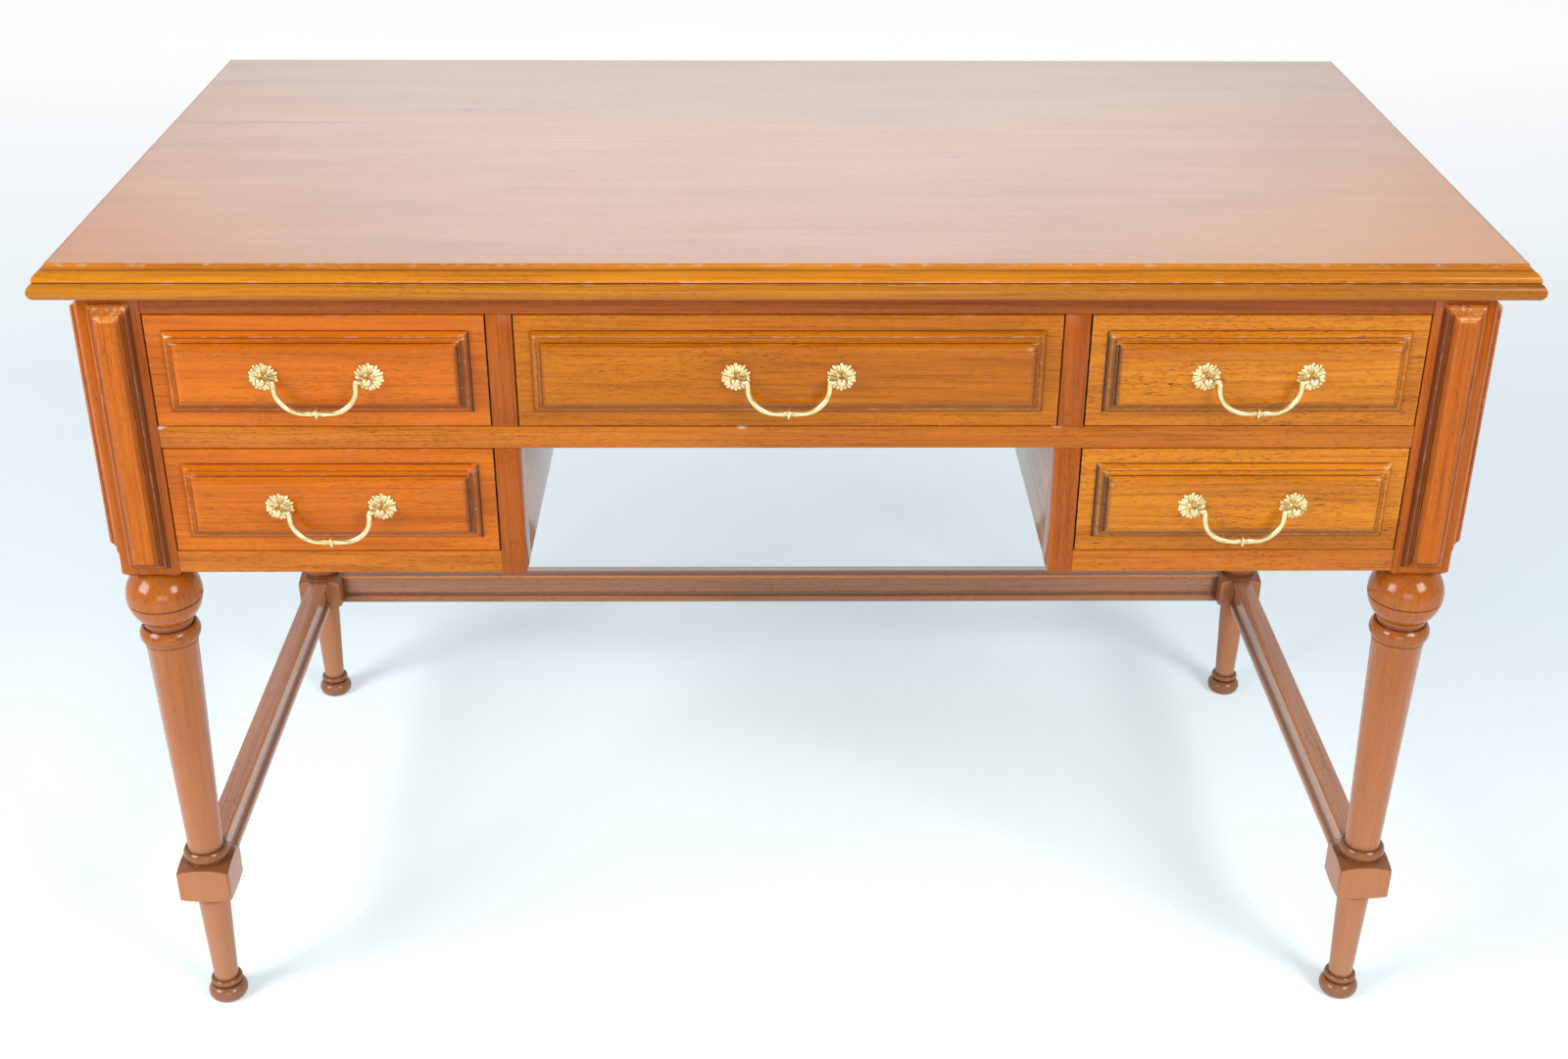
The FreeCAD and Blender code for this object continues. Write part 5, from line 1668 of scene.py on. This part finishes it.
@dataclass
class Rosettes:
    """Cast daisy plates behind the pulls, two layers of petals round a crown.

    Each layer has its share of the rise, its turn as a share of one petal and its share of the reach.
    """

    spacing: float = PULL_SPACING
    petals: int = 10
    reach: float = 12.45 * MM
    root: float = 3.6 * MM
    petal_width: float = 4.3 * MM
    petal_thickness: float = 1.5 * MM
    rise: float = 1.75 * MM
    tilt: float = math.radians(9.0)
    crown: float = 5.0 * MM
    crown_rise: float = 5.0 * MM
    crown_cut: float = -0.05 * MM
    disc: float = 8.5 * MM
    disc_thickness: float = 0.8 * MM
    layers: tuple[tuple[float, float, float], ...] = ((1.0, 0.0, 0.93), (0.62, 0.5, 1.0))
    blunting: float = 0.3
    taper: float = 0.38
    hollow: float = 0.28

    def sizes(self) -> dict[str, float]:
        """Values of the tree's inputs.

        Returns:
            The values by label.
        """
        return {
            "Petals": self.petals, "Reach": self.reach, "Root": self.root,
            "Petal width": self.petal_width, "Petal thickness": self.petal_thickness,
            "Rise": self.rise, "Tilt": self.tilt, "Crown": self.crown, "Crown rise": self.crown_rise,
            "Disc": self.disc, "Disc thickness": self.disc_thickness,
        }

    def tree(self) -> NodeBench:
        """Build the node tree of a rosette on each point of a mesh.

        Returns:
            The tree's bench.
        """
        inputs = {
            label: "NodeSocketInt" if isinstance(value, int) else "NodeSocketFloat"
            for label, value in self.sizes().items()
        }
        bench = NodeBench("daisy_rosette", {**inputs, "Metal": "NodeSocketMaterial"})
        petals = [self.layer(bench, *layer) for layer in self.layers]
        ball = bench.add("GeometryNodeMeshUVSphere", Segments=32, Rings=16, Radius=1.0).outputs[0]
        crown = bench.add(
            "GeometryNodeTransform", Geometry=ball,
            Scale=bench.triple(bench.given("Crown"), bench.given("Crown"), bench.given("Crown rise")),
        ).outputs[0]
        thickness = bench.given("Disc thickness")
        disc = bench.add(
            "GeometryNodeMeshCylinder", Vertices=40, Radius=bench.given("Disc"), Depth=thickness
        ).outputs[0]
        raised = bench.add(
            "GeometryNodeTransform", Geometry=disc,
            Translation=bench.triple(0.0, 0.0, bench.number("MULTIPLY", thickness, 0.5)),
        ).outputs[0]
        below = bench.number("LESS_THAN", self.height(bench), self.crown_cut)
        dome = bench.add("GeometryNodeDeleteGeometry", Geometry=crown, Selection=below).outputs[0]
        spots = bench.add(
            "GeometryNodeInstanceOnPoints", Points=bench.given("Geometry"),
            Instance=bench.join((*petals, dome, raised)), Rotation=(math.pi / 2, 0.0, 0.0),
        ).outputs[0]
        bench.finish(spots, bench.given("Metal"))
        return bench

    def height(self, bench: NodeBench) -> Socket:
        """Height of each point over the plate's back.

        Args:
            bench: The tree's bench.

        Returns:
            The height's socket.
        """
        place = bench.add("GeometryNodeInputPosition").outputs[0]
        return bench.add("ShaderNodeSeparateXYZ", Vector=place).outputs["Z"]

    def layer(self, bench: NodeBench, lift: float, turn: float, stretch: float) -> Socket:
        """One ring of petals.

        Args:
            bench: The tree's bench.
            lift: Share of the full rise.
            turn: Turn of the ring as a share of one petal.
            stretch: Share of the full reach.

        Returns:
            The ring's geometry.
        """
        reach = bench.number("MULTIPLY", bench.given("Reach"), stretch)
        half_length = bench.number("MULTIPLY", bench.number("SUBTRACT", reach, bench.given("Root")), 0.5)
        middle = bench.number("SUBTRACT", reach, half_length)
        half_width = bench.number("MULTIPLY", bench.given("Petal width"), 0.5)
        half_thick = bench.number("MULTIPLY", bench.given("Petal thickness"), 0.5)
        ball = bench.add("GeometryNodeMeshUVSphere", Segments=16, Rings=12, Radius=1.0).outputs[0]
        leaf = self.pointed(bench, ball)
        petal = bench.add(
            "GeometryNodeTransform", Geometry=leaf,
            Translation=bench.triple(middle, 0.0, bench.number("MULTIPLY", bench.given("Rise"), lift)),
            Rotation=bench.triple(0.0, bench.given("Tilt"), 0.0),
            Scale=bench.triple(half_length, half_width, half_thick),
        ).outputs[0]
        step = bench.number("DIVIDE", 2 * math.pi, bench.given("Petals"))
        number = bench.number("ADD", bench.add("GeometryNodeInputIndex").outputs[0], turn)
        points = bench.add("GeometryNodePoints", Count=bench.given("Petals")).outputs[0]
        return bench.add(
            "GeometryNodeInstanceOnPoints", Points=points, Instance=petal,
            Rotation=bench.triple(0.0, 0.0, bench.number("MULTIPLY", number, step)),
        ).outputs[0]

    def pointed(self, bench: NodeBench, ball: Socket) -> Socket:
        """Draw a ball out to a leaf: narrow at its root, round at its tip, hollowed along its middle.

        Args:
            bench: The tree's bench.
            ball: A ball of radius one.

        Returns:
            The leaf.
        """
        place = bench.add("GeometryNodeInputPosition").outputs[0]
        parts = bench.add("ShaderNodeSeparateXYZ", Vector=place)
        along, across, up = (parts.outputs[axis] for axis in "XYZ")
        drawn_in = bench.number("MULTIPLY", bench.number("MULTIPLY", along, along), self.blunting)
        blunt = bench.number("SUBTRACT", 1 + self.blunting, drawn_in)
        taper = bench.number("ADD", bench.number("MULTIPLY", along, self.taper), 1 - self.taper)
        narrow = bench.number("MULTIPLY", across, taper)
        inward = bench.number("SUBTRACT", 1.0, bench.number("MULTIPLY", across, across))
        hollow = bench.number("SUBTRACT", up, bench.number("MULTIPLY", inward, self.hollow))
        drawn = bench.triple(bench.number("MULTIPLY", along, blunt), narrow, hollow)
        return bench.add("GeometryNodeSetPosition", Geometry=ball, Position=drawn).outputs[0]

    def build(self) -> None:
        """Make the two rosettes of each drawer as one piece."""
        bench = self.tree()
        for name in DRAWERS:
            node = f"pull_rosettes_{name}"
            low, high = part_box(node)
            across, up = (low.x + high.x) / 2, (low.z + high.z) / 2
            mesh = bpy.data.meshes.new(node)
            mesh.from_pydata([(across + side * self.spacing / 2, high.y, up) for side in (-1, 1)], [], [])
            piece = bpy.data.objects.new(f"daisy_rosettes_{name}", mesh)
            bpy.context.scene.collection.objects.link(piece)
            bench.apply(piece, {**self.sizes(), "Metal": Finishes.BRASS.material()})
            seat(piece, Body.DRAWER.value + name, node)


@dataclass
class Bails:
    """Swinging drop handles: bent wire, pins at the ends and a turned knop in the middle.

    The knop is given by half, as places and radii in millimetres from its middle.
    """

    spacing: float = PULL_SPACING
    wire: float = 2.35 * MM
    pin: float = 1.3 * MM
    pin_gap: float = 1.0 * MM
    shoulder: float = 38.0 * MM
    shoulder_ease: float = 0.3 * MM
    shoulder_step: float = 0.05 * MM
    inset: float = 9.7 * MM
    elbow: float = 2.4 * MM
    drop: float = 28.0 * MM
    corner: float = 23.0 * MM
    sides: int = 28
    knop: tuple[Point, ...] = (
        (0.0, 4.9), (0.55, 4.9), (0.95, 4.75), (1.15, 4.4), (1.2, 3.9), (1.25, 2.5), (1.9, 2.3),
        (2.05, 2.5), (2.3, 2.72), (2.75, 2.8), (3.2, 2.72), (3.45, 2.5), (3.6, 2.3), (4.15, 2.3),
        (4.3, 2.75), (4.45, 3.0), (5.4, 2.9), (6.6, 2.75), (8.2, 2.55), (10.3, 2.35),
    )

    def half_path(self) -> list[Line]:
        """Across, height and radius from the knop's middle to the right pin.

        Returns:
            The points of the right half.
        """
        arm = self.spacing / 2 - self.inset
        floor = -self.drop
        bend_end = (arm, floor + self.corner)
        bend = bow((arm - self.corner, floor), bend_end, -self.corner * QUARTER_RISE, steps=18)
        elbow = bow((arm, -self.elbow), (arm + self.elbow, 0.0), self.elbow * QUARTER_RISE, steps=6)
        return [
            *((across * MM, floor, radius * MM) for across, radius in self.knop),
            *((*point, self.wire) for point in bend),
            (arm, -self.elbow, self.wire),
            *((*point, self.wire) for point in elbow),
            (self.shoulder - self.shoulder_ease, 0.0, self.wire),
            (self.shoulder, 0.0, self.wire - self.shoulder_ease),
            (self.shoulder + self.shoulder_step, 0.0, self.pin),
            (self.spacing / 2 - self.pin_gap, 0.0, self.pin),
        ]

    def tree(self) -> NodeBench:
        """Build the node tree that sweeps a round section along an edge path.

        Returns:
            The tree's bench.
        """
        bench = NodeBench("bent_wire", {"Sides": "NodeSocketInt", "Metal": "NodeSocketMaterial"})
        line = bench.add("GeometryNodeMeshToCurve", Mesh=bench.given("Geometry")).outputs[0]
        thickness = bench.add("GeometryNodeInputNamedAttribute", Name="thickness").outputs[0]
        section = bench.add(
            "GeometryNodeCurvePrimitiveCircle", Resolution=bench.given("Sides"), Radius=1.0
        ).outputs[0]
        sweep = bench.add(
            "GeometryNodeCurveToMesh", Curve=line, Profile_Curve=section, Scale=thickness, Fill_Caps=True
        )
        bench.finish(sweep.outputs[0], bench.given("Metal"))
        return bench

    def build(self, joints: Sequence[dict[str, Any]]) -> None:
        """Make the bail of each drawer.

        Args:
            joints: The record's joints, which hold the bails' pivots.
        """
        bench = self.tree()
        right = self.half_path()
        left = [(-across, up, radius) for across, up, radius in reversed(right[1:])]
        path = [*left, *right]
        pivots = {joint["child"]: Vector(joint["pos_m"]) for joint in joints if joint["type"] == "hinge"}
        for name in DRAWERS:
            body = Body.PULL.value + name
            pivot = pivots[body]
            mesh = bpy.data.meshes.new(f"bail_{name}_line")
            spots = [tuple(pivot + Vector((across, 0.0, up))) for across, up, _ in path]
            mesh.from_pydata(spots, [(number, number + 1) for number in range(len(spots) - 1)], [])
            radii = [radius for _, _, radius in path]
            mesh.attributes.new("thickness", "FLOAT", "POINT").data.foreach_set("value", radii)
            piece = bpy.data.objects.new(f"drop_bail_{name}", mesh)
            bpy.context.scene.collection.objects.link(piece)
            bench.apply(piece, {"Sides": self.sides, "Metal": Finishes.BRASS.material()})
            smooth(piece.data)
            seat(piece, body, f"bail_{name}")


@dataclass(frozen=True)
class Lamp:
    """A soft lamp of the studio."""

    name: str
    place: tuple[float, float, float]
    aim: tuple[float, float, float]
    width: float
    height: float
    power: float
    colour: Colour = (1.0, 1.0, 1.0)


@dataclass
class Studio:
    """Pale floor, soft lamps, pale surroundings and the camera."""

    floor_side: float = 40.0
    floor_colour: Colour = (0.92, 0.965, 0.985)
    sky_colour: Colour = (0.95, 0.98, 1.0)
    floor_lift: Colour = (0.24, 0.315, 0.355)
    far_lift: Colour = (0.66, 0.63, 0.62)
    sky_strength: float = 0.30
    dim_front: float = 0.30
    pale_back: float = 0.90
    back_glow: float = 2.30
    back_ends: Point = (-0.5, 0.25)
    glow_ends: Point = (0.86, 0.95)
    glow_heights: Point = (0.17, 0.30)
    scuff_range: Point = (0.35, 0.65)
    scuff_paler: float = 1.02
    far_ends: Point = (0.5, 3.4)
    camera_place: tuple[float, float, float] = (-0.0204, -1.7945, 1.3185)
    camera_yaw: float = 0.0115
    camera_pitch: float = 0.4855
    camera_roll: float = -0.0044
    focal_pixels: float = 2025.5
    lamps: tuple[Lamp, ...] = (
        Lamp("left_softbox", (-2.4, -1.6, 1.75), (0.0, -0.1, 0.55), 1.3, 1.3, 57.0),
        Lamp("right_softbox", (2.0, -2.3, 2.1), (0.0, -0.1, 0.55), 1.2, 1.2, 55.0),
        Lamp("front_fill", (0.0, -3.2, 0.95), (0.0, 0.0, 0.6), 1.6, 0.8, 15.0),
    )

    def build(self) -> None:
        """Set up everything that isn't the desk."""
        bpy.context.scene.view_settings.view_transform = "Standard"
        self.lay_floor()
        self.light_sky()
        for lamp in self.lamps:
            self.hang(lamp)
        self.set_camera()

    def lay_floor(self) -> None:
        """Lay the pale floor."""
        half = self.floor_side / 2
        mesh = bpy.data.meshes.new("floor")
        corners = [(-half, -half, 0), (half, -half, 0), (half, half, 0), (-half, half, 0)]
        mesh.from_pydata(corners, [], [(0, 1, 2, 3)])
        bench = ShaderBench(bpy.data.materials.new("pale_floor"))
        place = bench.add("ShaderNodeTexCoord").outputs["Object"]
        scuff = bench.noise(place, Figure.SCUFF).outputs["Fac"]
        paler = tuple(min(1.0, share * self.scuff_paler) for share in self.floor_colour)
        colour = bench.ramp(scuff, tuple(zip(self.scuff_range, (self.floor_colour, paler))))
        matt = bench.add("ShaderNodeBsdfDiffuse", Color=colour)
        path = bench.add("ShaderNodeLightPath")
        seen = bench.number("MAXIMUM", path.outputs["Is Camera Ray"], path.outputs["Is Glossy Ray"])
        back = bench.add("ShaderNodeSeparateXYZ", Vector=place).outputs["Y"]
        paling = bench.mix(bench.remap(back, self.far_ends, (0.0, 1.0)), self.floor_lift, self.far_lift)
        lift = bench.add("ShaderNodeEmission", Color=paling, Strength=seen)
        both = bench.add("ShaderNodeAddShader")
        bench.feed(both.inputs[0], matt.outputs[0])
        bench.feed(both.inputs[1], lift.outputs[0])
        mesh.materials.append(bench.finish(both.outputs[0]))
        floor = bpy.data.objects.new("floor", mesh)
        bpy.context.scene.collection.objects.link(floor)

    def light_sky(self) -> None:
        """Pale light from all round, white where it is seen, and where it is mirrored dim in front, paler
        behind and glowing just above the horizon at the back.
        """
        bench = ShaderBench(bpy.data.worlds.new("pale_surroundings"))
        path = bench.add("ShaderNodeLightPath")
        seen = bench.number("MAXIMUM", path.outputs["Is Camera Ray"], path.outputs["Is Transmission Ray"])
        place = bench.add("ShaderNodeTexCoord").outputs["Generated"]
        way = bench.add("ShaderNodeSeparateXYZ", Vector=place)
        levels = (self.dim_front, self.pale_back)
        mirrored = bench.remap(way.outputs["Y"], self.back_ends, levels, soft=True)
        glow = bench.remap(way.outputs["Y"], self.glow_ends, (0.0, self.back_glow), soft=True)
        above = bench.remap(way.outputs["Z"], self.glow_heights, (0.0, 1.0), soft=True)
        mirrored = bench.number("ADD", mirrored, bench.number("MULTIPLY", glow, above))
        level = bench.remap(path.outputs["Is Glossy Ray"], (0.0, 1.0), (self.sky_strength, mirrored))
        strength = bench.remap(seen, (0.0, 1.0), (level, 1.0))
        sky = bench.add("ShaderNodeBackground", Color=self.sky_colour, Strength=strength)
        bpy.context.scene.world = bench.finish(sky.outputs[0], "ShaderNodeOutputWorld")

    def hang(self, lamp: Lamp) -> None:
        """Hang one soft lamp.

        Args:
            lamp: The lamp.
        """
        light = bpy.data.lights.new(lamp.name, "AREA")
        light.shape = "RECTANGLE"
        light.size, light.size_y = lamp.width, lamp.height
        light.energy = lamp.power
        light.color = lamp.colour
        hung = bpy.data.objects.new(lamp.name, light)
        hung.location = lamp.place
        hung.rotation_euler = (Vector(lamp.aim) - Vector(lamp.place)).to_track_quat("-Z", "Y").to_euler()
        hung.visible_camera = False
        bpy.context.scene.collection.objects.link(hung)

    def set_camera(self) -> None:
        """Set the camera at the photograph's angle."""
        yaw, pitch, roll = self.camera_yaw, self.camera_pitch, self.camera_roll
        level = math.cos(pitch)
        forward = Vector((math.sin(yaw) * level, math.cos(yaw) * level, -math.sin(pitch)))
        right = Vector((math.cos(yaw), -math.sin(yaw), 0.0))
        upward = right.cross(forward)
        right_rolled = right * math.cos(roll) - upward * math.sin(roll)
        up_rolled = upward * math.cos(roll) + right * math.sin(roll)
        data = bpy.data.cameras.new("portrait")
        data.sensor_width = SENSOR_WIDTH
        data.lens = self.focal_pixels * SENSOR_WIDTH / PHOTO_WIDTH
        camera = bpy.data.objects.new("portrait", data)
        turn = Matrix((right_rolled, up_rolled, -forward)).transposed().to_4x4()
        camera.matrix_world = Matrix.Translation(self.camera_place) @ turn
        bpy.context.scene.collection.objects.link(camera)
        bpy.context.scene.camera = camera


def main() -> None:
    """Build the desk's pieces in order, then the studio."""
    logging.basicConfig(level=logging.INFO, format="%(name)s %(message)s")
    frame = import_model()
    DeskTop().build()
    PostPanels().build()
    TurnedLegs().build()
    timber = CarcaseTimber(frame["nodes"])
    timber.build()
    Stretchers(timber).build()
    DrawerFronts().build()
    boxes = DrawerBoxes(frame["nodes"])
    boxes.build()
    Rosettes().build()
    for name in DRAWERS:
        boxes.dress(f"pull_bolts_{name}", Finishes.BRASS)
    Bails().build(frame["joints"])
    Studio().build()


if __name__ == "__main__":
    main()
